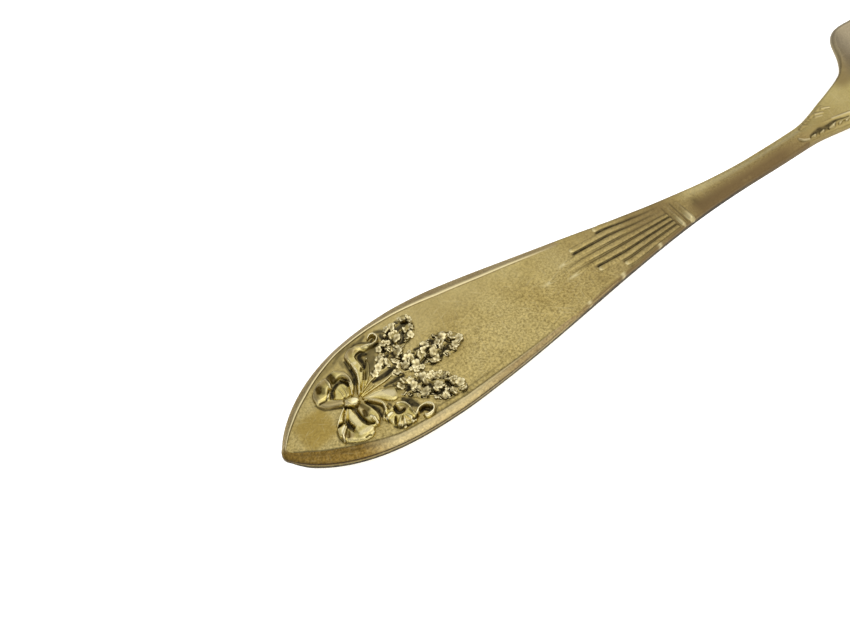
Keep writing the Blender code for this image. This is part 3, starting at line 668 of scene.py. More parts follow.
# dark grooves and pockets: points, half widths, depth, stain; the dark is tarnish with painted shade and
# shadow
bowCuts = [
    ([(10, 2.9), (10.4, 3.7), (11, 4.1), (11.7, 4.3), (12.3, 4.2), (12.7, 3.7), (12.7, 2.9)],
     (0.34, 0.38, 0.36, 0.36, 0.44, 0.38, 0.2), 0.7, 1),
    ([(9, 4.9), (8.8, 4.5)], (0.82, 0.76), 0.2, 1), ([(9.4, 4.4), (9.2, 3.9)], (0.5, 0.45), 0.05, 0.65),
    ([(11.3, 5.6), (11.4, 4.9)], (0.8, 0.72), 0.15, 0.92),
    ([(7.9, 2.9), (8.5, 2.8), (9.2, 2.7)], (0.18, 0.22, 0.14), 0.25, 0.85),
    ([(9.4, 1.1), (8.6, 1.5), (8, 2), (7.6, 2.7), (7.4, 3.4)], (0.15, 0.15, 0.15, 0.15, 0.12), 0.2, 0.75),
    ([(11.2, 1.6), (10.8, 1)], (0.22, 0.22), 0.3, 0.6),
    # painted shadow under the left loop's lower edge and the knot
    ([(9.2, 1.2), (10, 0.7), (10.4, 0.2), (10.8, -0.3), (11.3, -0.7), (11.8, -0.9)],
     (0.14, 0.16, 0.18, 0.2, 0.2, 0.14), 0.35, 0.95),
    ([(15.5, 3.8), (15.2, 3.5)], (0.2, 0.22), 0.4, 0.75),
    ([(17.4, 5.7), (17, 6), (16.5, 6), (16.3, 5.6), (16.3, 5.1), (16.2, 4.4), (15.9, 3.8)],
     (0.34, 0.5, 0.56, 0.5, 0.44, 0.3, 0.15), 0.95, 1),
    ([(16.8, 4.5), (16, 3.3), (15.3, 2.2)], (0.3, 0.42, 0.3), 0.1, 0.55),
    ([(19.4, 7.1), (19, 6.9), (18.6, 6.9)], (0.26, 0.34, 0.24), 0.6, 0.95),
    ([(16.3, 8), (17.1, 8), (17.8, 7.7), (18.3, 7.3), (18.9, 7)], (0.15, 0.2, 0.24, 0.24, 0.2), 0.35, 0.85),
    ([(14.4, 6.6), (14.3, 5.5), (14.2, 4.3), (13.9, 3.3), (13.5, 2.6)], (0.2, 0.28, 0.34, 0.38, 0.24), 0.75,
     0.95),
    ([(14.1, 6), (14, 4.8), (13.7, 3.6)], (0.3, 0.36, 0.3), 0.15, 0.5),
    ([(15.7, 7.4), (15.4, 6.4)], (0.5, 0.5), 0.08, 0.3),
    ([(9.4, -1.8), (9.4, -2.5), (9.6, -3.2)], (0.3, 0.42, 0.26), 0.7, 1),
    ([(8, -1.7), (8.5, -1.6), (9.2, -1.6)], (0.16, 0.18, 0.14), 0.4, 0.9),
    ([(7.6, -1.9), (7.3, -3.2), (7.8, -4.4), (8.9, -5.4), (10.1, -6.1), (11.1, -6.7)],
     (0.14, 0.15, 0.15, 0.15, 0.14, 0.1), 0.2, 0.6),
    ([(8.7, -3.1), (8.3, -3.9)], (0.4, 0.34), 0.25, 0.55),
    ([(9.4, -3.9), (9.3, -4.8)], (0.6, 0.6), 0.06, 0.3),
    ([(11.3, -0.9), (11.3, -1.8), (11.3, -2.7), (11.5, -3.4)], (0.17, 0.22, 0.3, 0.26), 0.6, 1),
    ([(12.1, -2.1), (11.9, -2.7)], (0.52, 0.56), 0.25, 0.95),
    ([(12.3, -1.1), (12.6, -2.1)], (0.5, 0.6), 0.15, 0.75),
    ([(11.5, -3.5), (11.7, -4), (12.1, -4.5)], (0.26, 0.36, 0.16), 0.55, 0.95),
    ([(10.1, -5.6), (10.6, -5.6), (10.9, -5.8)], (0.11, 0.12, 0.1), 0.25, 0.85),
    ([(13.2, -0.9), (13.5, -1.7), (13.8, -2.7), (13.9, -3.4), (13.7, -4)], (0.18, 0.3, 0.4, 0.38, 0.24),
     0.85, 1),
    ([(15.8, -3.9), (15.7, -4.6), (15.8, -5.1), (16.3, -5.3), (16.6, -5.2)], (0.24, 0.38, 0.44, 0.36, 0.22),
     0.65, 1),
    ([(16.7, -4.5), (17, -5.1)], (0.5, 0.5), 0.15, 0.5),
    ([(14.1, -4.2), (13.9, -4.8), (13.9, -5.5)], (0.15, 0.17, 0.13), 0.4, 0.9),
    ([(15, -5.5), (14.7, -6), (14.4, -6.4)], (0.12, 0.2, 0.22), 0.4, 0.85),
    ([(14.1, -6.5), (14.6, -7.2), (15.4, -7.6), (16.1, -7.7)], (0.15, 0.24, 0.22, 0.13), 0.35, 0.9),
    ([(15.8, -6), (15.4, -6.6)], (0.09, 0.1), 0.3, 0.7),
    ([(16, -6.6), (16.1, -7.3)], (0.1, 0.12), 0.25, 0.6),
    ([(16.6, -7.5), (17.1, -7.4), (17.5, -7.2)], (0.2, 0.3, 0.2), 0.45, 0.95),
    ([(17.2, -5.8), (17.2, -6.3)], (0.3, 0.3), 0.15, 0.55),
    ([(15.5, -3), (15.6, -3.5)], (0.2, 0.2), 0.35, 0.8), ([(15, -3.7)], (0.3,), 0.2, 0.6),
    ([(18.2, -6.9), (18.8, -6.8), (19.2, -7.1), (19.4, -7.6), (19.1, -7.8)], (0.2, 0.34, 0.44, 0.36, 0.24),
     0.9, 1),
    ([(20.5, -7.3), (20, -8.1), (18.9, -8.6)], (0.14, 0.16, 0.12), 0.1, 0.5),
    ([(17.4, -3.8), (17.9, -4.6), (18.1, -5.2), (18.4, -5.8)], (0.5, 0.8, 0.8, 0.5), 0.1, 0.9),
    ([(15.7, 1.2), (16.8, 1.1), (17.9, 1.1), (19.2, 1.3)], (0.3, 0.52, 0.62, 0.44), 0.3, 1),
    ([(16.5, -0.4), (17.7, -0.5), (18.8, -0.6), (19.5, -0.7)], (0.2, 0.46, 0.5, 0.3), 0.2, 0.9),
    ([(17.6, -1), (17.8, -1.4)], (0.26, 0.2), 0.2, 0.8),
    ([(14.2, 0.6), (15.2, 0.7)], (0.12, 0.1), 0.2, 0.5),
    ([(20.3, 7.9), (20.9, 7.5), (21.5, 7.1)], (0.34, 0.5, 0.34), 0.05, 0.75),
    ([(20.7, 6.9), (20.6, 6)], (0.5, 0.42), 0.1, 0.9),
    ([(13, 7.4), (14.7, 8.1), (16.2, 8.1)], (0.34, 0.5, 0.4), 0.03, 0.55),
    ([(16.6, 8.2), (17.8, 8), (18.7, 8.3)], (0.3, 0.42, 0.3), 0.03, 0.6),
]
# flower heads: the cushion's outline, each floret's place and radius, dark pits, stalks back to the knot
sprayDrawing = {
    "flower_spray_left": {
        "head": [
            (15.9, 1.9), (17.2, 3.2), (18.3, 4.1), (19.2, 5.1), (20.2, 6), (21.3, 7.1), (22.4, 7.5),
            (23.6, 7.5), (24.7, 7.8), (25.5, 7.5), (25.8, 6.7), (25.3, 5.7), (25.2, 4.9), (24.7, 4.3),
            (23.7, 3.7), (22.9, 3.6), (22, 2.8), (21.1, 2.2), (20.1, 1.8), (19.1, 1.6), (18.2, 1.7),
            (17, 1.7)
        ],
        "florets": [
            (16.5, 2, 0.42), (17.4, 2.5, 0.46), (18.4, 2.9, 0.48), (19.1, 2.4, 0.48), (19.9, 1.9, 0.44),
            (18.2, 3.7, 0.42), (18.9, 3.9, 0.4), (20.4, 4, 0.46), (21, 3.1, 0.5), (19.1, 4.9, 0.4),
            (20.2, 4.5, 0.45), (20, 5.3, 0.44), (20.7, 5, 0.36), (21.5, 3.9, 0.45), (22.1, 4.9, 0.46),
            (21.8, 5.8, 0.42), (21.7, 7.1, 0.45), (22.5, 6.9, 0.5), (22.5, 5.9, 0.36), (24.6, 7.1, 0.5),
            (25.3, 6.5, 0.42), (24.7, 5.3, 0.48), (23.9, 5.3, 0.4), (24, 4.2, 0.42), (20.6, 2.3, 0.4),
            (23.3, 4.1, 0.36)
        ],
        "pits": [
            ([(23.1, 6.3), (23.7, 6.4), (24.5, 6.6), (24.9, 6.6)], 0.42),
            ([(23.7, 7.2), (23.6, 7.5)], 0.26),
            ([(23.4, 5.4), (23.1, 4.7), (22.7, 4.2), (22.2, 4.1)], 0.32), ([(21.1, 6.1), (21.3, 5.6)], 0.3),
            ([(21.9, 6.7), (21.5, 6.5)], 0.2), ([(21.5, 5.2), (21.2, 4.6)], 0.34),
            ([(19.6, 4.8), (19.5, 4.3)], 0.28), ([(19.7, 3.6), (19.4, 3.4)], 0.28),
            ([(20.4, 3.4), (20.3, 2.8), (19.9, 2.8)], 0.36), ([(21, 2.2), (20.8, 1.7)], 0.26),
            ([(17.8, 3.5)], 0.2), ([(16.7, 2.8), (16.3, 2.4)], 0.18), ([(18.4, 2.4), (18, 2.2)], 0.18),
            ([(24.2, 4.9), (23.6, 4.7)], 0.16), ([(25.4, 5.9), (25.1, 5.4)], 0.12),
        ],
        "stalks": [
            [(13.1, 0.6), (14.2, 1), (15.2, 1.4), (16, 1.6), (16.9, 1.8)],
            [(13, 1.2), (13.8, 1.5), (14.6, 2)],
        ],
    },
    "flower_spray_middle": {
        "head": [
            (18.1, 0.3), (19.2, 0.9), (20.3, 1.4), (21.3, 2.1), (22.2, 2.1), (23.1, 1.9), (24, 2.3),
            (25.1, 2.1), (26.3, 2.4), (27.4, 2.2), (28.4, 1.7), (29.2, 0.8), (29.7, -0.2), (29.3, -1),
            (28.4, -1.4), (27.7, -1.9), (26.8, -1.9), (25.6, -1.9), (24.8, -2), (23.8, -1.6), (22.9, -1.3),
            (22, -1.4), (21, -0.9), (20.1, -0.5), (19, -0.4)
        ],
        "florets": [
            (19.1, 0.3, 0.45), (19.9, 0.8, 0.4), (20.6, 0.4, 0.45), (21.4, 1.2, 0.48), (21.5, 0.4, 0.42),
            (21.9, -0.5, 0.62), (21.5, -1.1, 0.4), (22.3, -1.3, 0.36), (22, 1.1, 0.36), (23.2, 0.6, 0.5),
            (24, 0.7, 0.42), (24.6, 1.5, 0.5), (23.9, -0.2, 0.3), (25, -0.3, 0.5), (25.4, 0.3, 0.36),
            (24, -1.3, 0.42), (24.7, -1.4, 0.4), (26.2, 0.8, 0.45), (26.3, -0.2, 0.42), (27.2, 1.2, 0.48),
            (27.9, 0.8, 0.4), (28.4, 0.3, 0.42), (29, -0.5, 0.45), (28.1, -1, 0.5), (27.4, -1.2, 0.4),
            (26.3, -1.5, 0.42), (26.7, 0.6, 0.36)
        ],
        "pits": [
            ([(23.2, 1.9), (23.8, 1.7), (24.3, 1.6)], 0.3), ([(25.5, 1.9), (26, 1.6), (25.6, 1.2)], 0.3),
            ([(26.4, 1.9)], 0.18), ([(26.9, 1.9), (26.8, 1.3)], 0.3),
            ([(27.5, 0.5), (27.7, -0.1), (28.3, -0.2)], 0.2),
            ([(26.1, -0.9), (26.8, -0.6), (27.3, -0.5)], 0.42), ([(25.7, -0.7)], 0.24),
            ([(24.8, 0.6), (24.3, 0.4)], 0.26), ([(25.8, 0.2)], 0.18),
            ([(22.7, -0.6), (23.4, -0.4), (24.1, -0.4), (24.6, -0.8)], 0.28),
            ([(22.6, 0.8), (22.7, 0.4)], 0.3), ([(22.5, 1.4)], 0.2), ([(25.7, -1.1), (25.1, -1.7)], 0.22),
            ([(23.8, -1.5), (24.3, -1.7)], 0.13), ([(20.3, 0), (20.8, -0.1), (21.4, -0.1)], 0.22),
            ([(20.2, 0.8), (20.1, 0.3)], 0.16), ([(28.3, 1.3)], 0.14), ([(27.6, -1.8)], 0.14),
            ([(27.1, -1.1)], 0.16), ([(20.8, 1.2)], 0.16),
        ],
        "stalks": [
            [(13.2, 0.2), (15, 0.2), (17, 0.2), (18.2, 0.4)],
            [(13.2, 0.4), (14.4, 0.6), (15.4, 0.7)],
        ],
    },
    "flower_spray_right": {
        "head": [
            (15.7, -0.9), (16.6, -0.6), (17.5, -1.1), (18.5, -0.9), (19.5, -1.1), (20.3, -1.6),
            (21.2, -1.5), (22.2, -1.9), (23, -2.7), (23.8, -3.2), (24.6, -3.8), (24.9, -4.8), (25.1, -5.5),
            (25.6, -6.2), (25.7, -7.3), (25.2, -7.9), (24.3, -7.8), (23.5, -7.5), (22.9, -7.8),
            (22.1, -7.7), (21.5, -7), (21.2, -6.3), (20.5, -5.8), (19.6, -5.6), (18.9, -4.8), (18.2, -3.9),
            (17.2, -3.3), (16.2, -2.3)
        ],
        "florets": [
            (18.3, -2.1, 0.46), (18, -3.1, 0.36), (19.1, -1.7, 0.5), (19.8, -2.1, 0.4), (19.7, -3, 0.5),
            (19.6, -3.6, 0.36), (21.5, -2.7, 0.5), (21.4, -3.5, 0.4), (20.2, -4.2, 0.45), (20.4, -4.9, 0.5),
            (19.9, -5.3, 0.3), (23.1, -3.7, 0.5), (22.3, -3.3, 0.36), (23.9, -4.2, 0.45), (24.2, -5, 0.42),
            (22.4, -5.1, 0.46), (23, -5.3, 0.42), (22.8, -6, 0.5), (21.8, -5.4, 0.36), (24.3, -5.9, 0.46),
            (25, -6.6, 0.48), (24.9, -7.5, 0.42), (23.7, -7.3, 0.46), (22.9, -6.9, 0.5), (22.2, -7.1, 0.4),
            (21.3, -6.4, 0.32)
        ],
        "pits": [
            ([(20.3, -2.3), (20.7, -2.8), (21, -2.5)], 0.3),
            ([(19.1, -2.5), (19.1, -2.9), (18.7, -2.9)], 0.34),
            ([(21, -3.9), (21.6, -4.1), (21.7, -4.7)], 0.36),
            ([(22.3, -3.8), (23, -3.9), (23.5, -4.4), (24, -4.7)], 0.2),
            ([(23.7, -5.4), (23.5, -5.9), (23.2, -6.1)], 0.26), ([(23.9, -6.3), (24.4, -6.8)], 0.2),
            ([(20.9, -5.2), (21.4, -5.6), (21.8, -6.1), (22.3, -6)], 0.32),
            ([(19.2, -3.7), (19.7, -4), (19.9, -4.3)], 0.2), ([(18.6, -3.8)], 0.3),
            ([(21.6, -6.7), (21.9, -7.3), (22.4, -7.5)], 0.14), ([(23.3, -7), (22.9, -7.5)], 0.12),
            ([(24.4, -7.5)], 0.16), ([(19.6, -5.2), (20.2, -5.5)], 0.14),
        ],
        "stalks": [
            [(13.2, -0.2), (14.8, -0.4), (16.1, -0.8)],
        ],
    },
}
# the smooth sheath that the right spray grows from
sheath = [
    (13.2, -0.3), (14.9, -0.4), (16.1, -0.8), (17, -1), (17.6, -1.5), (17.5, -2.3), (17.3, -3),
    (16.5, -3.3), (15.7, -2.8), (15.1, -2.1), (14.3, -1.3),
]
# marks drawn on the metal: points, half widths, strength; glints are painted highlights, tints are brown that
# is partly painted shade on folds turned from the light, stains are tarnish with painted shade and shadow
bowMarks = {
    "glint": [
        ([(9.5, 3.1)], (0.24,), 1), ([(10.3, 4), (10.6, 4.1)], (0.22, 0.22), 0.9),
        ([(11.7, 0), (12.2, 0)], (0.5, 0.4), 1),
        ([(8.9, -2.2), (8.3, -2.7), (7.7, -3.5)], (0.3, 0.4, 0.2), 1),
        ([(10.4, -1), (10.3, -2.4), (10.5, -3.5)], (0.4, 0.7, 0.5), 0.45),
        ([(10, -4.7), (11.3, -4.9)], (0.5, 0.6), 0.5), ([(12.4, -3.5), (12.7, -4.2)], (0.36, 0.26), 0.95),
        ([(14.1, -4.9), (14.7, -4.8)], (0.36, 0.36), 0.9), ([(14.2, -3.4)], (0.36,), 0.8),
        ([(15, -7), (15.7, -6.8), (16.6, -7.1)], (0.3, 0.4, 0.36), 0.75), ([(16.9, 4.7)], (0.16,), 0.9),
        ([(14.5, 3.6), (14.6, 4.3)], (0.36, 0.36), 0.75), ([(14.5, 5.3), (15.1, 5)], (0.3, 0.4), 0.6),
        ([(12.6, 1.9), (13, 2.8), (13, 3.7)], (0.12, 0.15, 0.12), 0.8),
        ([(13.6, -0.5), (14.8, -0.8), (15.8, -1.4), (16.6, -2.2)], (0.3, 0.5, 0.7, 0.8), 0.5),
        ([(17.5, -6.7), (18.3, -6.4), (19.1, -6.4), (19.6, -6.8), (19.7, -7.4), (19.2, -7.9)],
         (0.16, 0.18, 0.2, 0.2, 0.2, 0.16), 0.8),
        ([(9.4, -1.1), (10.2, -0.2)], (0.14, 0.12), 0.7),
        ([(18.2, 6.3), (19.3, 6.1), (19.8, 6.6), (19.8, 7.1)], (0.14, 0.14, 0.14, 0.12), 0.6),
        ([(16.7, -4), (17.2, -4.7), (17.4, -5.5)], (0.14, 0.16, 0.14), 0.6),
    ],
    "tint": [
        ([(8, 2.6), (9.4, 1.6), (10.6, 1.1)], (0.7, 0.7, 0.5), 0.6),
        ([(8, 3.6), (8.2, 4.6), (9.4, 5.4), (10.6, 5.4)], (0.6, 0.8, 0.8, 0.8), 0.6),
        ([(12.6, 5.8), (13.2, 4.8), (13.2, 3.4)], (0.7, 0.6, 0.4), 0.5),
        ([(14.6, 6.6), (15.3, 7.1), (16, 7)], (0.6, 0.8, 0.6), 0.7),
        ([(16.6, 7.2), (17.6, 6.8)], (0.5, 0.5), 0.3), ([(10.6, 0.6), (11, 0.3)], (0.4, 0.4), 0.4),
        ([(8.2, -3.6), (8.7, -4.1)], (0.5, 0.6), 0.7), ([(12, -1), (12.2, -2.4)], (0.6, 0.7), 0.6),
        ([(13.6, -1), (14.4, -2.2)], (0.4, 0.5), 0.4), ([(16, -4.8), (16.8, -5.3)], (0.5, 0.5), 0.6),
    ],
    "stainAndShade": [
        ([(15.1, 2.1), (15.9, 3.2), (16.6, 4.4)], (0.3, 0.5, 0.5), 0.75),
        ([(12, 4.8), (12.6, 4.6)], (0.4, 0.35), 0.35),
        ([(8, 3.9), (8.3, 4.7), (9.2, 5.3)], (0.6, 0.7, 0.6), 0.55),
        ([(8.2, 2.3), (9.4, 1.6), (10.3, 1.2)], (0.6, 0.6, 0.5), 0.3),
        ([(9.9, 5.2), (10.2, 4.6)], (0.5, 0.5), 0.2),
        ([(12.6, 5.6), (13.2, 4.8), (13.3, 3.6)], (0.5, 0.4, 0.3), 0.2),
        ([(8.6, 6.1), (10.5, 6.9), (12.6, 7.3), (14, 7.5)], (0.35, 0.6, 0.7, 0.6), 0.32),
        ([(14, 8), (16, 8.2), (17.8, 7.9)], (0.4, 0.5, 0.5), 0.45),
        ([(17.4, 5), (18.2, 5.4), (19.4, 5.9)], (0.8, 1, 0.8), 0.62),
        ([(16.3, 2.9), (17, 3.8), (17.7, 4.6)], (0.6, 0.9, 0.9), 0.65),
        ([(13.9, 6.8), (13.8, 6)], (0.5, 0.4), 0.45),
    ],
}
# the cushion under the florets: height and hem, how far it is darkened, stalks, the pits between florets
cushion = {
    "pad": (0.24, 0.7), "shows": 0.05, "cushionDark": {"stainAndShade": 0.36, "tint": 0.30}, "sheath": (0.36, 0.5),
    "stalk": ((0.10, 0.13, 0.15), (0.24, 0.34, 0.34)), "pitSpread": 1.15, "pitDepth": 0.7,
}
bowSheet = newSheet(5.5, 32.5, 9.5)
for node, drawn in bowDrawing.items():
    for pad in drawn["pads"]:
        drawPad(bowSheet, node, *pad)
    for fold in drawn["folds"]:
        drawFold(bowSheet, node, *fold)
for groove in bowCuts:
    drawCut(bowSheet, *groove)
for node, spray in sprayDrawing.items():
    drawPad(bowSheet, node, spray["head"], *cushion["pad"])
    for key, strength in cushion["cushionDark"].items():
        bowSheet[key] = np.maximum(bowSheet[key], strength * (bowSheet["pieces"][node] > cushion["shows"]))
    for run in spray["stalks"]:
        drawFold(bowSheet, node, run, *cushion["stalk"])
    for run, half in spray["pits"]:
        drawCut(bowSheet, run, (cushion["pitSpread"] * half,), cushion["pitDepth"])
drawPad(bowSheet, "flower_spray_right", sheath, *cushion["sheath"])
for key, marks in bowMarks.items():
    for mark in marks:
        drawMark(bowSheet, key, *mark)
closeSheet(bowSheet)

# two beads round the waist, worn down towards the far edge: station, half width, height
collarDrawing = {
    "beads": {"collar_bead_small": (collarAt - 0.75, 0.42, 0.32),
              "collar_bead_large": (collarAt + 0.95, 0.60, 0.42)},
    "nearGap": 0.55, "middle": -0.4, "farGap": 1.3, "shares": (1.0, 0.85, 0.45), "farHigh": 0.02,
    # grooves beside the beads, darkened as painted shadow lines
    "grooves": (collarAt - 1.45, collarAt + 0.08), "grooveAcross": (-2.8, -0.5, 1.6),
    "grooveHalves": (0.18, 0.18, 0.10), "grooveDepth": 0.10, "grooveShade": 0.6,
    # a painted highlight on the beads' near ends, and the share of crest rub kept
    "highlightAcross": -2.3, "highlightHalf": 1.0, "crestRub": 0.5,
}
collarSheet = newSheet(66.5, 72.5, 4.4)
for node, (at, half, high) in collarDrawing["beads"].items():
    reach = float(halfWidth(at))
    across = (collarDrawing["nearGap"] - reach, collarDrawing["middle"], reach - collarDrawing["farGap"])
    heights = [share * high for share in collarDrawing["shares"]] + [collarDrawing["farHigh"]]
    drawFold(collarSheet, node, [(at, y) for y in across], (half,), heights, True)
for at in collarDrawing["grooves"]:
    drawCut(collarSheet, [(at, y) for y in collarDrawing["grooveAcross"]], collarDrawing["grooveHalves"],
            collarDrawing["grooveDepth"], collarDrawing["grooveShade"])
closeSheet(collarSheet)
# the beads' near ends take a painted highlight
rubbedAndHighlighted = hump(collarSheet["y"] - collarDrawing["highlightAcross"], collarDrawing["highlightHalf"])
collarSheet["wear"] = np.maximum(collarDrawing["crestRub"] * collarSheet["wear"], rubbedAndHighlighted)

# leaf sprigs on the shoulders: points, half widths, heights; the left one is worn nearly flat
sprigDrawing = {
    "shoulder_sprig_right": [
        ([(93.8, -0.4), (94, -0.85), (94.5, -1.2), (95.3, -1.5)], (0.1, 0.13, 0.12, 0.1),
         (0.2, 0.3, 0.26, 0.12)),
        ([(95.8, -1.4), (96.2, -1.5), (96.5, -1.35)], (0.2, 0.28, 0.16), (0.24, 0.42, 0.24)),
        ([(97.3, -1.7), (97.7, -1.7), (98.2, -1.5)], (0.22, 0.3, 0.14), (0.26, 0.46, 0.24)),
        ([(98.9, -1.9), (99.5, -1.95), (100.2, -1.7)], (0.26, 0.38, 0.16), (0.3, 0.52, 0.28)),
        ([(100.6, -2.25), (101.3, -2.15)], (0.24, 0.16), (0.32, 0.22)),
        ([(101.7, -2.5), (102.6, -2.4)], (0.26, 0.16), (0.34, 0.2)),
        ([(98.6, -0.35), (100.3, -0.85), (101.5, -1.25), (103.2, -1.7), (104.8, -2.1)],
         (0.3, 0.4, 0.5, 0.5, 0.4), (0.02, 0.1, 0.2, 0.24, 0.12), True),
    ],
    "shoulder_sprig_left": [
        ([(95.6, 0.9), (96.1, 1.1), (96.7, 0.6)], (0.26, 0.34, 0.26), (0.04, 0.08, 0.02), True),
        ([(98.7, 1.1), (99.7, 0.65)], (0.34, 0.28), (0.07, 0.03), True),
        ([(99, 1.6), (100.2, 1)], (0.38, 0.34), (0.15, 0.08), True),
        ([(100.5, 1.75), (101.6, 1.15)], (0.38, 0.34), (0.15, 0.08), True),
        ([(96.9, 1.45), (97.6, 1.5)], (0.34, 0.3), (0.08, 0.05), True),
        ([(98.3, 1.75), (99.2, 1.8)], (0.36, 0.32), (0.1, 0.06), True),
        ([(100, 2.1), (100.9, 2.15)], (0.36, 0.32), (0.1, 0.06), True),
    ],
}
# dark cuts by the sprigs: points, half widths, depth, stain; the first is the painted shade of the hollow
# beside the right sprig's leaves
sprigCuts = [
    ([(95.9, -1.1), (96.7, -1.1), (97.5, -1.1), (98.2, -1.3), (99.1, -1.4), (100.1, -1.4), (101, -1.6),
     (101.8, -1.9), (102.6, -2.1)], (0.3, 0.46, 0.58, 0.5, 0.4, 0.34, 0.22, 0.14, 0.1), 0.25, 0.75),
    ([(96.9, -1.5), (96.9, -1.9)], (0.16, 0.12), 0.2, 0.7),
    ([(98.6, -1.7), (98.7, -2.1)], (0.16, 0.12), 0.2, 0.7),
    ([(93.9, -1.1), (94.4, -1.45), (95.1, -1.75)], (0.13, 0.13, 0.11), 0.06, 0.5),
    ([(100.9, 1.3), (101.5, 0.9)], (0.12, 0.1), 0.08, 0.45),
    ([(97, 1.4), (97.4, 1.2)], (0.14, 0.12), 0.06, 0.4),
]
# the near leaves take strong rub and painted highlight, the far ones hardly: the slanted line between them,
# then spots of rub and painted highlight
sprigRubAndHighlight = {
    "from": 96, "at": -1.25, "slant": 0.08, "near": 1.3, "far": 0.3,
    "half": 0.24, "nearSpot": 0.9, "farSpot": 0.5,
    "spots": [
        [(96.2, -1.5)], [(97.8, -1.7)], [(99.6, -1.9), (100.1, -1.8)],
        [(93.9, -0.6), (94.4, -1.1), (95.2, -1.4)],
        [(100.4, -0.75), (101.6, -1.15), (103.1, -1.65), (104.2, -1.95)],
        [(99.1, 1.5), (100.1, 1.1)], [(100.6, 1.7), (101.5, 1.2)], [(98.8, 1.1), (99.6, 0.7)],
    ],
}
neckSheet = newSheet(92.5, 106.5, 4.6)
for node, folds in sprigDrawing.items():
    for fold in folds:
        drawFold(neckSheet, node, *fold)
for groove in sprigCuts:
    drawCut(neckSheet, *groove)
closeSheet(neckSheet)
slant = sprigRubAndHighlight["at"] - sprigRubAndHighlight["slant"] * (neckSheet["s"] - sprigRubAndHighlight["from"])
neckSheet["wear"] *= np.where(neckSheet["y"] < slant, sprigRubAndHighlight["near"], sprigRubAndHighlight["far"])
for spot in sprigRubAndHighlight["spots"]:
    strength = sprigRubAndHighlight["nearSpot"] if spot[0][1] < 0 else sprigRubAndHighlight["farSpot"]
    drawMark(neckSheet, "wear", spot, (sprigRubAndHighlight["half"],), strength)
print("ornament drawn")

rimDrawing = {
    "tip": 0.9, "end": 54.0, "steps": 521, "crowding": 1.7, "turn": 1.2,
    # width by station and the stations where it fades out, far side and near side
    "far": ((0.9, 3.7, 7.3, 9.7, 14, 20, 25, 31, 38, 45, 54),
            (1.22, 1.4, 1.45, 1.25, 1.0, 1.1, 1.4, 1.8, 1.7, 1.4, 1.0), (42, 54)),
    "near": ((0.9, 2.9, 6.2, 9.7, 11.7, 14, 20, 30, 40, 54),
             (1.66, 2.2, 2.3, 2.1, 1.74, 1.43, 1.4, 1.1, 0.75, 0.5), (28, 52)),
    # inner step, bright ridge, broad bevel and round outer edge: share of the width, height
    "profile": ((0.00, -0.30), (0.00, -0.03), (0.03, 0.05), (0.08, 0.12), (0.14, 0.15), (0.22, 0.14),
                (0.34, 0.07), (0.50, -0.03), (0.68, -0.14), (0.84, -0.24), (0.95, -0.32), (1.00, -0.42),
                (1.00, -0.70), (0.98, -0.90), (0.50, -0.95)),
    # per profile point: tarnish with painted shade at the inner step and down the outer wall, then the
    # ridge's painted highlight, then the near bevel's painted highlight
    "tarnish": (0.8, 0.9, 0.4, 0.0, 0, 0.05, 0.3, 0.05, 0, 0, 0.20, 1.0, 0.2, 0.5, 1.0),
    "ridge": (0, 0.1, 0.5, 1.0, 1.0, 0.7, 0.1, 0, 0, 0, 0, 0, 0, 0, 0),
    "bevel": (0, 0, 0.05, 0.10, 0.15, 0.22, 0.28, 0.25, 0.18, 0.1, 0.0, 0, 0, 0, 0),
    # where the border fades it sinks, and its points below this height sink further
    "deep": -0.29, "deepSink": 0.25, "sink": 0.08,
    # near side of the ridge: its height and painted highlight, from this station over this length
    "ridgeRun": (8, 8), "nearCrest": (0.1, 0.5), "nearHighlight": 0.4,
    # the far side's inner points lose their dark along here
    "darkFadeRun": (20, 8), "darkFadeShare": 0.85, "innerPoints": 7, "crestPoint": 4,
    # brown, partly painted shade on the far side; the near tip's darker colour, a painted dark reflection;
    # the painted highlight on the near bevel; all by station
    "farBrown": ((18, 28), (0.15, 0.28)), "nearBrown": ((26, 34), (0, 0.35)),
    "tipColour": ((9, 13.5), (1, 0)), "shine": ((9, 13, 25, 33), (0, 1, 1, 0)),
}


def bySide(y, far, near):
    return np.where(np.asarray(y) >= 0, far, near)


def along(s, start, length):
    # eased share of a run that starts at one station
    return ease((s - start) / length)


def rimFade(s, y):
    far, near = (1 - along(s, a, b - a) for a, b in (rimDrawing["far"][2], rimDrawing["near"][2]))
    return bySide(y, far, near)


def rimInner(s, y):
    far, near = (np.interp(s, *rimDrawing[side][:2]) for side in ("far", "near"))
    return halfWidth(s) - bySide(y, far, near)


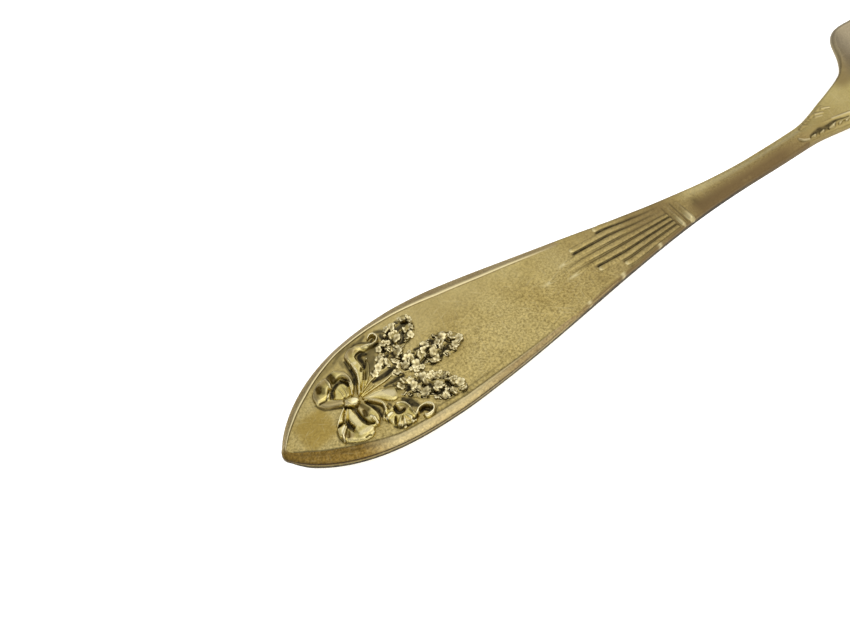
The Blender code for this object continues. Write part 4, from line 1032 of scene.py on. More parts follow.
def makeRim():
    draw = rimDrawing
    q = np.linspace(-1, 1, draw["steps"])
    reach = np.abs(q) ** draw["crowding"]
    outerS = draw["end"] * reach
    innerS = draw["tip"] + (draw["end"] - draw["tip"]) * reach
    sign = np.where(q < 0, -1.0, 1.0)
    outer = np.stack([outerS, sign * halfWidth(outerS)], -1)
    inner = np.stack([innerS, sign * rimInner(innerS, sign)], -1)
    low, gain = draw["nearCrest"]
    rings = []
    for o, n, side in zip(outer, inner, sign):
        fade = float(rimFade(n[0], side))
        crest = max(float(ease(o[1] / draw["turn"])), low + gain * float(along(n[0], *draw["ridgeRun"])))
        ring = []
        for p, h in draw["profile"]:
            at = n + (o - n) * p
            h = h * crest if h > 0 else h
            sink = draw["deepSink"] if h < draw["deep"] else draw["sink"]
            ring.append((at[0], at[1], float(blade(at[0], at[1])) + h * fade - sink * (1 - fade)))
        rings.append(ring)
    rings = np.array(rings)
    s, far = rings[..., 0], ease(rings[..., 1] / draw["turn"])
    near = 1 - far
    fades = rimFade(rings[:, draw["crestPoint"], 0], sign)[:, None]
    # the ridge's painted highlight, full on the far side, then the near bevel's painted highlight
    rubAndHighlight = np.array(draw["ridge"]) * np.maximum(far, draw["nearHighlight"] * along(s, *draw["ridgeRun"]))
    rubAndHighlight = rubAndHighlight + np.array(draw["bevel"]) * np.interp(s, *draw["shine"]) * near
    dark = fades * np.array(draw["tarnish"])
    inside = np.s_[:, :draw["innerPoints"]]
    dark[inside] *= 1 - draw["darkFadeShare"] * far[inside] * along(s[inside], *draw["darkFadeRun"])
    brown = far * np.interp(s, *draw["farBrown"]) + np.interp(s, *draw["nearBrown"]) * near
    piece = newPiece("rimBorder", rings, ringFaces(*rings.shape[:2]), tarnish=dark, wear=fades * rubAndHighlight,
                     umber=brown, end=np.interp(s, *draw["tipColour"]) * near)
    finished(piece, "worn_rim", rimBrass, "rim_border")


reedDrawing = {
    "count": 7, "longest": 22.6, "stagger": 3.8, "pitch": 1.3, "edge": 0.2,
    "fill": 0.38, "sunk": 0.12, "high": 0.26,
    # how dark each channel is with grime and painted shade, at its nose, half way and at the collar, from the
    # right edge to the left
    "grimeAndShade": ((0.40, 0.40, 0.30), (0.60, 0.60, 0.60), (1.00, 0.85, 0.75), (0.10, 0.65, 0.75),
              (0.10, 0.55, 0.30), (1.00, 0.80, 0.00), (1.00, 0.75, 0.00), (0.85, 0.45, 0.00)),
    "channelHalf": 0.24, "channelLead": 0.2, "channelRun": 0.8,
    # how far each nose is worn into the blade, and how the row drifts to the left of the middle
    "worn": (0.0, 0.0, 0.12, 0.13, 0.12, 0.02, 0.0), "drift": ((45, 0.0), (52, 0.40), (58, 0.25), (68, 0.10)),
    # how much sooner or later than the even row each reed starts
    "lead": (0.0, 0.0, 0.0, 0.0, 0.0, -1.5, 0.0),
    # each bar: rings in the nose and along the rest, the nose's length and roundness, the wear past it
    "noseRings": 12, "barRings": 50, "noseLength": 0.9, "noseCrowding": 1.6, "noseRound": 0.7,
    "leastGirth": 0.06, "wornLength": 10, "farSink": 0.17, "farRun": (58, 6), "sides": 20,
    # marks: tarnish and painted shade below this rise, fading on the far reeds, a painted highlight on the
    # nose, brown
    "darkBelow": (0.02, 0.12, 0.6), "darkFadeRun": (57, 6), "noseHighlight": (0.2, 0.35, 0.8), "brown": 0.75,
}
reedMiddle = reedDrawing["count"] // 2


def reedPitch(s):
    return np.minimum(reedDrawing["pitch"], (halfWidth(s) - reedDrawing["edge"]) / (reedDrawing["count"] / 2))


def reedDrift(s):
    return np.interp(s, *zip(*reedDrawing["drift"]))


def reedStart(offset):
    lead = float(np.interp(offset, range(-reedMiddle, reedMiddle + 1), reedDrawing["lead"]))
    return reedStop - reedDrawing["longest"] + abs(offset) * reedDrawing["stagger"] + lead


def reedGroove(s, y):
    # the narrow channels between the reeds: how deep, how dark
    deep, dark = np.zeros(s.shape), np.zeros(s.shape)
    pitch, lead = reedPitch(s), reedDrawing["channelLead"]
    for edge, grimeAndShade in enumerate(reedDrawing["grimeAndShade"]):
        offset = edge - reedDrawing["count"] / 2
        begin = reedStart(math.copysign(min(abs(offset) + 0.5, reedMiddle), offset)) - lead
        run = along(s, begin, reedDrawing["channelRun"]) * (s < reedStop + lead)
        mark = hump(y - offset * pitch - reedDrift(s), reedDrawing["channelHalf"]) * run
        share = np.interp((s - begin) / (reedStop - begin), (0, 0.5, 1), grimeAndShade)
        deep = np.maximum(deep, mark * np.minimum(2 * share, 1))
        dark = np.maximum(dark, mark * share)
    return deep, dark


# dirt, brown and painted shade on the bare metal, by station and across
metalMarks = {
    # a dark spot past the collar: station, half length, across, half width, strength
    "spot": (73.0, 0.7, -0.2, 0.8, 0.35),
    # dark line inside the border: gap, half width, first station, strength far and near
    "line": (0.05, 0.12, 1.5, 0.6, 0.7), "lineFades": (18, 8),
    # a faint second line along the near border: gap, half width, strength, where it comes and goes
    "twin": (0.85, 0.14, 0.5), "twinComes": (17, 4), "twinGoes": (27, 8),
    # the brown of bare metal: from the reeds down the stem, gone again on the shoulders
    "brown": ((44, 54, 62, 69, 71, 73, 90, 97, 104, 110), (0, 0.25, 0.6, 0.7, 0.6, 1.0, 1.0, 0.45, 0.1, 0)),
    "reliefBrown": 0.8, "farThins": 0.85, "thinsAcross": (-0.6, 1.4), "thinsRun": (68, 6), "leastHalf": 0.3,
    # the near edge past the rim's end, and a brown painted shade where the neck spreads into the bowl
    "edgeBrown": 0.9, "edgeRun": (42, 6), "edgeFrom": 0.25, "edgeSoft": (0.5, 0.9),
    "shoulderBrown": 0.62, "shoulderOut": (1.7, 2.3), "shoulderEnds": (6, 5), "shoulderEndShare": 0.8,
    "shoulderComes": (104, 3), "shoulderGoes": (113, 6),
}


def bladeTarnishAndShade(s, y):
    # tarnish on the blade's top, with painted shade in the reed channels and in the bow's drawn stains
    mark = np.maximum(sheetAt(bowSheet, "tarnish", s, y), sheetAt(collarSheet, "tarnish", s, y))
    mark = np.maximum(mark, reedGroove(s, y)[1])
    at, length, middle, half, strength = metalMarks["spot"]
    mark = np.maximum(mark, strength * hump(s - at, length) * hump(y - middle, half))
    gap, half, first, far, near = metalMarks["line"]
    inside = hump(np.abs(y) - rimInner(s, y) + gap, half) * rimFade(s, y) * (s > first)
    inside = inside * bySide(y, far - far * along(s, *metalMarks["lineFades"]), near)
    gap, half, strength = metalMarks["twin"]
    twin = hump(y + rimInner(s, y) - gap, half) * along(s, *metalMarks["twinComes"])
    twin = twin * (1 - along(s, *metalMarks["twinGoes"])) * (y < 0)
    return np.maximum(mark, np.maximum(inside, strength * twin))


def umberAt(s):
    return np.interp(s, *metalMarks["brown"])


def stemUmber(s, y):
    # deepest on the near half of the stem, thinning out over the far half
    t = y / np.maximum(np.where(s < seamAt, halfWidth(s), bowlHalf(s)), metalMarks["leastHalf"])
    thins = along(t, *metalMarks["thinsAcross"]) * along(s, *metalMarks["thinsRun"])
    return umberAt(s) * (1 - metalMarks["farThins"] * thins)


def edgeUmber(s, y):
    soft, start = metalMarks["edgeSoft"]
    edge = ease((halfWidth(s) - metalMarks["edgeFrom"] - np.abs(y)) / -soft + start)
    return metalMarks["edgeBrown"] * along(s, *metalMarks["edgeRun"]) * edge * (y < 0)


def shoulderUmber(s, y):
    # brown painted shade where the neck's sides turn down into the bowl
    out = np.abs(y)
    brown = along(out, *metalMarks["shoulderOut"])
    brown = brown * (1 - metalMarks["shoulderEndShare"] * along(out, *metalMarks["shoulderEnds"]))
    brown = brown * along(s, *metalMarks["shoulderComes"]) * (1 - along(s, *metalMarks["shoulderGoes"]))
    return metalMarks["shoulderBrown"] * brown


handleDrawing = {
    # rings: first station, end, count and crowding at the tip, then runs of from, to and count, then the stem
    "tip": (0.02, 5, 34, 1.6), "runs": ((5, 32, 230), (32, 44, 28), (44, 72, 140)), "stem": (72, 44),
    "across": 141, "below": 33, "square": 0.6,
    # the seat under the border, the depth of the channels and cuts, and the swell of old metal
    "seat": (0.05, 0.25, 0.40), "channelDepth": 0.20, "cutDepth": 0.25,
    "swell": ((0.010, 0.8, 0.35), (0.008, -0.45, 1.3)),
    # painted shade on the lower half of each long edge, fading along the stem; painted highlights on the
    # noses of the middle reeds and on the far side of the stem, rub on the far field
    "edgeDark": 0.9, "edgeDarkFades": 0.6, "edgeRun": (76, 17),
    "noseHighlight": (1.1, 0.5, 1.1), "stemSheen": 0.45, "stemSheenAcross": (0.1, 0.8), "stemSheenRun": (70, 5),
    "fieldRub": 0.16, "fieldRubAcross": (1, 5), "fieldRubAt": (30, 9),
    "nicks": (48.1, 55.3, 63.4), "nickHalf": 0.35,
    # the dull patch at the tip: middle and half size along and across
    "patch": ((5.6, 2.6), (0.2, 2.7)),
}


def makeHandle():
    # rings of top face, rounded edge and underside, from the tip to the seam
    draw = handleDrawing
    first, end, count, crowding = draw["tip"]
    stations = [first + (end - first) * np.linspace(0, 1, count, endpoint=False) ** crowding]
    stations += [np.linspace(*run, endpoint=False) for run in draw["runs"]]
    stations.append(np.linspace(draw["stem"][0], seamAt + line["seamLap"], draw["stem"][1]))
    across, below = np.linspace(-1, 1, draw["across"]), np.linspace(1, -1, draw["below"])
    swing = np.abs(np.sin(edgeBend)) ** draw["square"]
    fall = np.sign(np.cos(edgeBend)) * np.abs(np.cos(edgeBend)) ** draw["square"]
    rings, marks, rubsAndHighlights = [], [], []
    n = draw["across"]
    for s in np.concatenate(stations):
        w, share = float(halfWidth(s)), float(stemShare(s))
        r = float(edgeRound(share, w))
        y = across * (w - r)
        row = np.full(y.shape, s)
        gap, soft, depth = draw["seat"]
        covered = np.maximum(np.abs(y) - rimInner(s, y), rimDrawing["tip"] - s)
        top = level(s) + crown(s, across) - along(covered, gap, soft) * rimFade(s, y) * depth
        top = top - draw["channelDepth"] * reedGroove(row, y)[0]
        top = top - draw["cutDepth"] * sheetAt(bowSheet, "cut", row, y)
        for high, byStation, byAcross in draw["swell"]:
            top = top + high * np.sin(byStation * s + byAcross * y)
        thick = line["bladeThick"] + (line["stemThick"] - line["bladeThick"]) * share
        under = level(s) + line["stemCrown"] * share - thick + line["stemBelly"] * share * below ** 2
        under = np.maximum(under, 0.0)
        zc, hh = (top[-1] + under[0]) / 2, (top[-1] - under[0]) / 2
        right = np.stack([w - r + r * swing, zc + hh * fall], -1)
        zc, hh = (top[0] + under[-1]) / 2, (top[0] - under[-1]) / 2
        left = np.stack([-(w - r) - r * swing[::-1], zc + hh * fall[::-1]], -1)
        loop = np.vstack([np.stack([y, top], -1), right, np.stack([below * (w - r), under], -1), left])
        rings.append(np.column_stack([np.full(len(loop), s), loop]))

        dark, rubAndHighlight = np.zeros(len(loop)), np.zeros(len(loop))
        dark[:n] = bladeTarnishAndShade(row, y)
        # the lower half of each long edge takes painted shade
        edgeDark = draw["edgeDark"] - draw["edgeDarkFades"] * along(s, *draw["edgeRun"])
        dark[n + 3:n + 7] = dark[-7:-3] = edgeDark
        # painted highlights on the noses of the middle reeds and a painted sheen on the stem's far side
        strength, past, length = draw["noseHighlight"]
        for k in (-1, 0, 1):
            nose = hump(s - reedStart(k) - past, length)
            rubAndHighlight[:n] += strength * nose * hump(y - k * reedPitch(s) - reedDrift(s), reedDrawing["channelHalf"])
        rubAndHighlight[:n] += draw["stemSheen"] * along(across, *draw["stemSheenAcross"]) * along(s, *draw["stemSheenRun"])
        at, half = draw["fieldRubAt"]
        rubAndHighlight[:n] += draw["fieldRub"] * along(y, *draw["fieldRubAcross"]) * hump(s - at, half, 4)
        nick = max(hump(s - at, draw["nickHalf"]) for at in draw["nicks"])
        rubAndHighlight[:3] = np.maximum(rubAndHighlight[:3], nick)
        rubAndHighlight[-3:] = nick
        marks.append(dark)
        rubsAndHighlights.append(rubAndHighlight)
    rings = np.array(rings)
    s, y = rings[..., 0], rings[..., 1]
    (at, length), (middle, half) = draw["patch"]
    piece = newPiece("spoonHandle", rings, ringFaces(*rings.shape[:2]), tarnish=marks, wear=rubsAndHighlights,
                     umber=np.maximum(stemUmber(s, y), edgeUmber(s, y)),
                     end=hump(s - at, length, 8) * hump(y - middle, half, 8))
    finished(piece, "gilt_body", fieldBrass, "handle")


bowlDrawing = {
    "neckRings": 120, "frontRings": 120, "across": 91, "lastTurn": 0.02, "edgeReach": 0.7, "stemSquare": 0.4,
    "edgeDark": 0.3, "endRun": (107, 7),
}


def makeBowl():
    draw, roll = bowlDrawing, line["frontRoll"]
    turn = np.linspace(0, math.pi / 2 - draw["lastTurn"], draw["frontRings"])
    stations = np.concatenate([
        np.linspace(seamAt + line["seamLap"], bowlMiddle, draw["neckRings"], endpoint=False),
        bowlMiddle + (line["bowlFront"] - roll) * np.sin(turn)])
    n = draw["across"]
    s, t = np.meshgrid(stations, np.linspace(-1, 1, n), indexing="ij")
    # the front is drawn in by the roll of its edge, so outline and depth close where the stations end
    drawn = s + np.maximum(s - bowlMiddle, 0) * roll / (line["bowlFront"] - roll)
    share = stemShare(s)
    inset = share * edgeRound(share, bowlHalf(drawn))
    top = np.stack([s, t * (bowlHalf(drawn) - inset), bowlTop(drawn, t)], -1)
    ways = np.gradient(top, axis=0)
    out = np.cross(ways, np.gradient(top, axis=1))
    out /= np.maximum(np.linalg.norm(out, axis=-1, keepdims=True), tiny)
    down = out * (1 - share[..., None]) + np.array([0, 0, 1.0]) * share[..., None]
    down /= np.linalg.norm(down, axis=-1, keepdims=True)
    thick = line["bowlWall"] + (line["stemThick"] - line["bowlWall"]) * share
    thick = thick - (line["stemCrown"] + line["stemBelly"]) * share * t * t
    low = top - down * thick[..., None]
    low[..., 2] = np.maximum(low[..., 2], 0.0)
    rings = []
    for i in range(len(stations)):
        edges = []
        for j, way in ((-1, 1.0), (0, -1.0)):
            a, b = top[i, j], low[i, j]
            middle, half = (a + b) / 2, (a - b) / 2
            outward = np.cross(ways[i, j], half)
            outward *= way * np.sign(outward[1] or 1.0) / max(np.linalg.norm(outward), tiny)
            reach = inset[i, j] + (1 - share[i, j]) * np.linalg.norm(half) * draw["edgeReach"]
            square = 1 - draw["stemSquare"] * share[i, j]
            fall = np.sign(np.cos(edgeBend)) * np.abs(np.cos(edgeBend)) ** square
            arc = middle + half * fall[:, None] + outward * reach * (np.sin(edgeBend) ** square)[:, None]
            edges.append(arc if way > 0 else arc[::-1])
        rings.append(np.vstack([top[i], edges[0], low[i][::-1], edges[1]]))
    rings = np.array(rings)
    dark = np.zeros(rings.shape[:2])
    # the rolled edge takes painted shade, on the stem only its lower half
    dark[:, n + 3:n + 7] = dark[:, -7:-3] = draw["edgeDark"]
    dark[:, n:n + 3] = dark[:, -3:] = draw["edgeDark"] * (1 - share[:, :1])
    dark[:, :n] = sheetAt(neckSheet, "tarnish", s, top[..., 1])
    # the two rolled edges meet across the front
    faces, base = ringFaces(*rings.shape[:2])[:-1], (len(rings) - 1) * rings.shape[1]
    last = base + rings.shape[1] - 1
    steps = len(edgeBend) - 1
    faces.append(list(range(base, base + n + 1)) + [last])
    faces += [[base + n + k, base + n + 1 + k, last - 1 - k, last - k] for k in range(steps)]
    faces.append(list(range(base + n + steps, last - steps + 1)))
    s, y = rings[..., 0], rings[..., 1]
    # the bowl's front takes the greyer end colour, a painted reflection
    piece = newPiece("spoonBowl", rings, faces, tarnish=dark,
                     umber=np.maximum(stemUmber(s, y), shoulderUmber(s, y)), end=along(s, *draw["endRun"]))
    finished(piece, "gilt_body", bowlBrass, "bowl")


def makeRelief():
    for sheet, ground in ((bowSheet, blade), (collarSheet, blade), (neckSheet, neck)):
        for node in sheet["pieces"]:
            if node not in sprayDrawing:
                brass = {"collar": fieldBrass, "shoulder": bowlBrass}.get(node.split("_")[0], reliefBrass)
                finished(layPatch("relief_" + node, sheet, node, ground), "gilt_relief", brass, node)


def newTree(name, result, **inputs):
    # a node group with named inputs, and the identifier of each
    tree = bpy.data.node_groups.new(name, "GeometryNodeTree")
    ids = {}
    for key, kind in inputs.items():
        ids[key] = tree.interface.new_socket(key, in_out="INPUT", socket_type="NodeSocket" + kind).identifier
    tree.interface.new_socket(result, in_out="OUTPUT", socket_type="NodeSocketGeometry")
    return tree, ids


def closeTree(add, shape, finish):
    real = add("GeometryNodeRealizeInstances", {0: shape})[0]
    add("NodeGroupOutput", {0: add("GeometryNodeSetMaterial", {"Geometry": real, "Material": finish})[0]})


def grown(name, guide, tree, ids, **values):
    # the tree at work on a guide mesh; what it makes becomes the piece's own plain mesh
    piece = linked(name, guide)
    mod = piece.modifiers.new(name, "NODES")
    mod.node_group = tree
    for key, value in values.items():
        mod[ids[key]] = value
    deps = bpy.context.evaluated_depsgraph_get()
    mesh = bpy.data.meshes.new_from_object(piece.evaluated_get(deps), depsgraph=deps)
    mesh.name = name
    piece.modifiers.clear()
    piece.data = mesh
    return piece


def meshPoints(mesh):
    co = np.empty((len(mesh.vertices), 3), np.float32)
    mesh.vertices.foreach_get("co", co.ravel())
    return co


floretDrawing = {
    "petals": 5, "steps": 4, "fullness": 1.5, "lift": 0.26, "uneven": (-0.08, 0.12),
    "tilt": 0.6, "stretch": (0.76, 1.24), "seed": 5,
    # small florets round a head's edge: spacing, start, first station, how far in, radius
    "fringe": 1.3, "fringeStart": 0.4, "fringeFrom": 17.5, "fringeIn": 0.40,
    "fringeSize": (0.18, 0.27),
    # rings from the middle to the hem: reach, height, tarnish with painted shade under the hem, rub with
    # painted highlight, brown
    "rings": ((0.18, 0.05, 0.40, 0.2, 0.5), (0.48, 0.12, 0.05, 0.6, 0.3), (0.82, 0.18, 0.00, 0.95, 0.1),
              (0.97, 0.17, 0.00, 1.1, 0.0), (1.02, 0.04, 0.30, 0.6, 0.0), (0.98, -0.45, 1.00, 0.0, 0.0)),
    "middle": (0.04, 0.5, 0.0, 0.6),
    # petals: bluntness, unevenness and its turn; what a notch takes of reach, height and rub with painted
    # highlight, how dark it is
    "blunt": 0.45, "wobble": (0.16, 0.7),
    "notchReach": 0.26, "notchHigh": 0.28, "notchRubAndHighlight": 0.6, "notchDark": 0.22, "darkGain": 1.4,
    # drawn pits in the florets: depth, and the stain with painted shade that shows
    "pitSink": 0.55, "pitStainAndShade": (1.5, 0.45),
}


def floretMesh():
    # blunt uneven petals with curled hems that carry rub and painted highlight, parted by dark notches
    draw = floretDrawing
    petals, rings = draw["petals"], draw["rings"]
    n = petals * draw["steps"]
    high, *first = draw["middle"]
    points, faces = [(0, 0, high)], []
    dark, rubAndHighlight, brown = ([value] for value in first)
    wobble, turn = draw["wobble"]
    for r, z, ringDark, ringRubAndHighlight, ringBrown in rings:
        for k in range(n):
            a = 2 * math.pi * k / n
            uneven = 1 - wobble + wobble * math.sin(2 * a + turn)
            petal = abs(math.cos(petals * math.pi * k / n)) ** draw["blunt"] * uneven
            notch = 1 - petal
            reach = r * (1 - draw["notchReach"] * notch)
            lift = z * (1 - draw["notchHigh"] * notch) if z > 0 else z
            points.append((reach * math.cos(a), reach * math.sin(a), lift))
            dark.append(min(1.0, ringDark + draw["notchDark"] * notch * min(1.0, draw["darkGain"] * r)))
            rubAndHighlight.append(ringRubAndHighlight * (1 - draw["notchRubAndHighlight"] * notch))
            brown.append(ringBrown)
    for k in range(n):
        faces.append((0, 1 + k, 1 + (k + 1) % n))
        for i in range(len(rings) - 1):
            a, b = 1 + i * n + k, 1 + i * n + (k + 1) % n
            faces.append((a, a + n, b + n, b))
    faces.append(tuple(range(1 + (len(rings) - 1) * n, 1 + len(rings) * n))[::-1])
    mesh = bpy.data.meshes.new("floret")
    mesh.from_pydata([tuple(mm * c for c in p) for p in points], [], faces)
    for mark, values in (("tarnish", dark), ("wear", rubAndHighlight), ("umber", brown), ("bloom", np.ones(len(points)))):
        setMark(mesh, mark, values)
    mesh.shade_smooth()
    return mesh


def bloomTree():
    # a floret on every spot, turned and sized by the spot's own marks, joined to the head that carries them
    tree, ids = newTree("bloomOnHead", "Bloom", Spots="Geometry", Head="Object", Floret="Object",
                        Fullness="Float", Finish="Material")
    fill, add = nodeKit(tree)[:2]
    start = add("NodeGroupInput")

    def mark(name):
        return add("GeometryNodeInputNamedAttribute", {"Name": name}, data_type="FLOAT_VECTOR")["Attribute"]

    def shapeOf(key):
        return add("GeometryNodeObjectInfo", {"Object": start[key]})["Geometry"]

    size = add("ShaderNodeVectorMath", {0: mark("size"), "Scale": start["Fullness"]}, operation="SCALE")[0]
    spin = add("FunctionNodeEulerToRotation", {0: mark("turn")})[0]
    put = {"Points": start["Spots"], "Instance": shapeOf("Floret"), "Rotation": spin, "Scale": size}
    both = tree.nodes.new("GeometryNodeJoinGeometry")
    fill(both, {0: add("GeometryNodeInstanceOnPoints", put)[0]})
    fill(both, {0: shapeOf("Head")})
    closeTree(add, both.outputs[0], start["Finish"])
    return tree, ids


def sinkPits(mesh):
    # the florets take the drawn pits: lower there, dark with stain and painted shade, and without rub or
    # painted highlight
    def marked(name):
        values = np.empty(len(mesh.vertices), np.float32)
        mesh.attributes[name].data.foreach_get("value", values)
        return values

    co = meshPoints(mesh)
    s, y = (co[:, 0] - tipX) / mm, co[:, 1] / mm
    bloom = marked("bloom")
    gain, least = floretDrawing["pitStainAndShade"]
    stainAndShade = np.clip(sheetAt(bowSheet, "stainAndShade", s, y) * gain - least, 0, 1)
    co[:, 2] -= floretDrawing["pitSink"] * mm * bloom * sheetAt(bowSheet, "cut", s, y)
    mesh.vertices.foreach_set("co", co.ravel())
    setMark(mesh, "tarnish", np.maximum(marked("tarnish"), stainAndShade))
    setMark(mesh, "wear", marked("wear") * (1 - stainAndShade * bloom))
    mesh.attributes.remove(mesh.attributes["bloom"])
    mesh.update()


def fringeAround(outline):
    # spots of the small florets that scallop a head's edge
    draw = floretDrawing
    edge = curveThrough(outline + outline[:1], 400)
    far = np.cumsum(np.hypot(*np.diff(edge, axis=0, prepend=edge[:1]).T))
    steps = np.arange(draw["fringeStart"], far[-1], draw["fringe"])
    fringe = np.stack([np.interp(steps, far, edge[:, k]) for k in (0, 1)], -1)
    fringe = fringe[fringe[:, 0] > draw["fringeFrom"]]
    inward = edge.mean(0) - fringe
    return fringe + draw["fringeIn"] * inward / np.linalg.norm(inward, axis=1)[:, None]


def makeSprays():
    draw = floretDrawing
    tree, ids = bloomTree()
    floret = bpy.data.objects.new("floret", floretMesh())
    chance = np.random.default_rng(draw["seed"])
    for node, spray in sprayDrawing.items():
        head = layPatch("head_" + node, bowSheet, node, blade)
        fringe = fringeAround(spray["head"])
        small = np.column_stack([fringe, chance.uniform(*draw["fringeSize"], len(fringe))])
        spots = np.vstack([spray["florets"], small])
        s, y = spots[:, 0], spots[:, 1]
        high = blade(s, y) + draw["lift"] + chance.uniform(*draw["uneven"], len(spots))
        mesh = bpy.data.meshes.new("spots")
        mesh.from_pydata(inFrame(np.column_stack([s, y, high])).tolist(), [], [])
        tilt = draw["tilt"] * chance.uniform(-1, 1, (len(spots), 2))
        turn = np.column_stack([tilt, chance.uniform(0, 6.28, len(spots))])
        size = spots[:, 2:] * chance.uniform(*draw["stretch"], (len(spots), 3))
        for mark, values in (("turn", turn), ("size", size)):
            layer = mesh.attributes.new(mark, "FLOAT_VECTOR", "POINT")
            layer.data.foreach_set("vector", values.astype(np.float32).ravel())
        bloom = grown("relief_" + node, mesh, tree, ids, Head=head, Floret=floret, Fullness=draw["fullness"],
                      Finish=reliefBrass)
        sinkPits(bloom.data)
        bpy.data.objects.remove(head)
        finished(bloom, "gilt_relief", reliefBrass, node)
    bpy.data.objects.remove(floret)


def reedTree():
    # a half-round bar drawn along its guide, thinned to a round nose by the guide's girth
    tree, ids = newTree("reedAlongGuide", "Reed", Guide="Geometry", HalfWidth="Float", Height="Float",
                        Finish="Material")
    add = nodeKit(tree)[1]
    start = add("NodeGroupInput")
    girth = add("GeometryNodeInputNamedAttribute", {"Name": "girth"}, data_type="FLOAT")["Attribute"]
    curve = add("GeometryNodeMeshToCurve", {0: start["Guide"]})[0]
    curve = add("GeometryNodeSetCurveNormal", {0: curve}, mode="Z_UP")[0]
    circle = add("GeometryNodeCurvePrimitiveCircle", {"Resolution": reedDrawing["sides"], "Radius": 1.0})[0]
    shape = add("ShaderNodeCombineXYZ", {0: start["HalfWidth"], 1: start["Height"]})[0]
    flat = add("GeometryNodeTransform", {0: circle, "Scale": shape})[0]
    sweep = {"Curve": curve, "Profile Curve": flat, "Scale": girth, "Fill Caps": True}
    closeTree(add, add("GeometryNodeCurveToMesh", sweep)[0], start["Finish"])
    return tree, ids


def makeReeds():
    draw = reedDrawing
    tree, ids = reedTree()
    for k in range(draw["count"]):
        offset, farSide = k - reedMiddle, k > reedMiddle
        first, nose = reedStart(offset), draw["noseLength"]
        s = np.concatenate([
            first + nose * np.linspace(0, 1, draw["noseRings"], endpoint=False) ** draw["noseCrowding"],
            np.linspace(first + nose, reedStop, draw["barRings"])])
        girth = np.sqrt(1 - np.clip(1 - (s - first) / draw["noseRound"], 0, 1) ** 2)
        girth = girth * reedPitch(s) / draw["pitch"]
        y = offset * reedPitch(s) + reedDrift(s)
        worn = draw["worn"][k] * (1 - along(s, first, draw["wornLength"]))
        worn = worn + farSide * draw["farSink"] * along(s, *draw["farRun"])
        mesh = bpy.data.meshes.new("reedGuide")
        points = inFrame(np.stack([s, y, blade(s, y) - draw["sunk"] - worn], -1))
        mesh.from_pydata(points.tolist(), [(i, i + 1) for i in range(len(s) - 1)], [])
        setMark(mesh, "girth", np.maximum(girth, draw["leastGirth"]))
        reed = grown(f"reedBar_{k + 1}", mesh, tree, ids, HalfWidth=draw["fill"] * draw["pitch"] * mm,
                     Height=draw["high"] * mm, Finish=fieldBrass)
        co = meshPoints(reed.data).astype(float) / mm
        at = co[:, 0] - tipX / mm
        rise = co[:, 2] - blade(at, co[:, 1])
        # tarnish and painted shade low on the bar, a painted highlight on its nose
        least, soft, most = draw["darkBelow"]
        dark = np.clip((least - rise) / soft, 0, most) * (1 - farSide * along(at, *draw["darkFadeRun"]))
        past, half, strength = draw["noseHighlight"]
        rubAndHighlight = strength * hump(at - first - past, half) * (rise > 0.0)
        for mark, values in (("tarnish", dark), ("wear", rubAndHighlight), ("umber", draw["brown"] * umberAt(at))):
            setMark(reed.data, mark, values)
        reed.data.shade_smooth()
        finished(reed, "gilt_relief", fieldBrass, f"reed_{k + 1}")


studio = {
    "floor": (0.93, 0.93, 0.925, 1), "floorHalf": 12.0, "floorRough": 0.9, "glow": 0.6,
    "strength": 1.08, "lean": (0.25, -0.10, 0.0), "warmth": (1.0, 0.995, 0.98),
    "sky": ((0.00, 0.40), (0.20, 0.60), (0.50, 0.92), (0.80, 1.12), (1.00, 1.10)),
    "lampWay": (-0.15, -0.42, 0.895), "lampSpread": 8.0, "lampPower": 1.0,
}


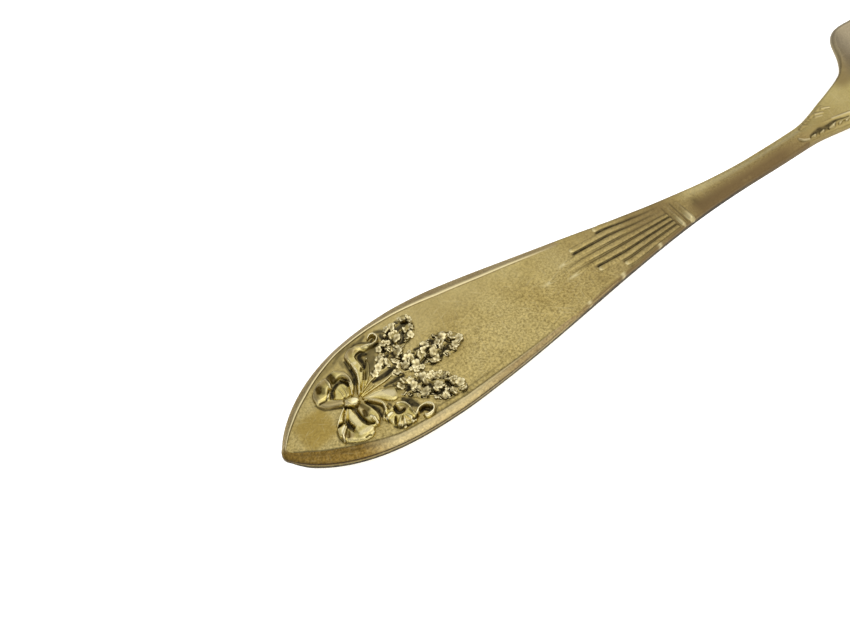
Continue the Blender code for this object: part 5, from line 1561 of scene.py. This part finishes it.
def makeStage():
    mesh = bpy.data.meshes.new("floor")
    w = studio["floorHalf"]
    mesh.from_pydata([(-w, -w, 0), (w, -w, 0), (w, w, 0), (-w, w, 0)], [], [(0, 1, 2, 3)])
    floor = linked("floor", mesh)
    material = bpy.data.materials.new("paperWhite")
    material.use_nodes = True
    nodeKit(material.node_tree)[0](material.node_tree.nodes["Principled BSDF"], {
        "Base Color": studio["floor"], "Roughness": studio["floorRough"],
        "Emission Color": studio["floor"], "Emission Strength": studio["glow"]})
    mesh.materials.append(material)

    # a tent of light, dim at the horizon, brightest above the camera's right shoulder
    world = bpy.data.worlds.new("studio")
    bpy.context.scene.world = world
    world.use_nodes = True
    fill, add, maths, ramp = nodeKit(world.node_tree)
    way = add("ShaderNodeTexCoord")["Generated"]

    def facing(target):
        return add("ShaderNodeVectorMath", {0: way, 1: target}, operation="DOT_PRODUCT")["Value"]

    sky = ((at, [value * c for c in studio["warmth"]]) for at, value in studio["sky"])
    tent = ramp(add("ShaderNodeSeparateXYZ", {0: way})["Z"], *sky)
    lamp = maths("POWER", maths("MAXIMUM", facing(studio["lampWay"]), 0.0), studio["lampSpread"])
    power = maths("MULTIPLY_ADD", lamp, studio["lampPower"], maths("ADD", facing(studio["lean"]), 1.0))
    power = maths("MULTIPLY", power, studio["strength"])
    fill(world.node_tree.nodes["Background"], {"Color": tent, "Strength": power})


# the photo's camera, solved from the handle's outline; its place is counted from the handle's tip
photoCamera = {
    "sensor": 36.0, "lens": 59.29, "near": 0.005, "place": (-0.0425, -0.09625, 0.1638),
    "right": (0.8241, -0.5664, 0), "up": (0.4463, 0.6494, 0.6157), "ahead": (0.3487, 0.5074, -0.7880),
}


def makeCamera():
    lens = bpy.data.cameras.new("photoLens")
    lens.sensor_fit = "HORIZONTAL"
    lens.sensor_width = photoCamera["sensor"]
    lens.lens = photoCamera["lens"]
    lens.clip_start = photoCamera["near"]
    camera = linked("photoCamera", lens)
    right, up, ahead = (Vector(photoCamera[key]) for key in ("right", "up", "ahead"))
    turn = Matrix((right, up, -ahead)).transposed().to_4x4()
    camera.matrix_world = Matrix.Translation(Vector((tipX, 0, 0)) + Vector(photoCamera["place"])) @ turn
    bpy.context.scene.camera = camera


makeStage()
makeCamera()
print("studio set")
makeHandle()
makeBowl()
print("handle and bowl made")
makeRim()
makeReeds()
print("rim and reeds made")
makeRelief()
makeSprays()
print("bow, flowers, collar and sprigs made")
bpy.context.scene.view_settings.view_transform = "Standard"

bpy.context.view_layer.update()
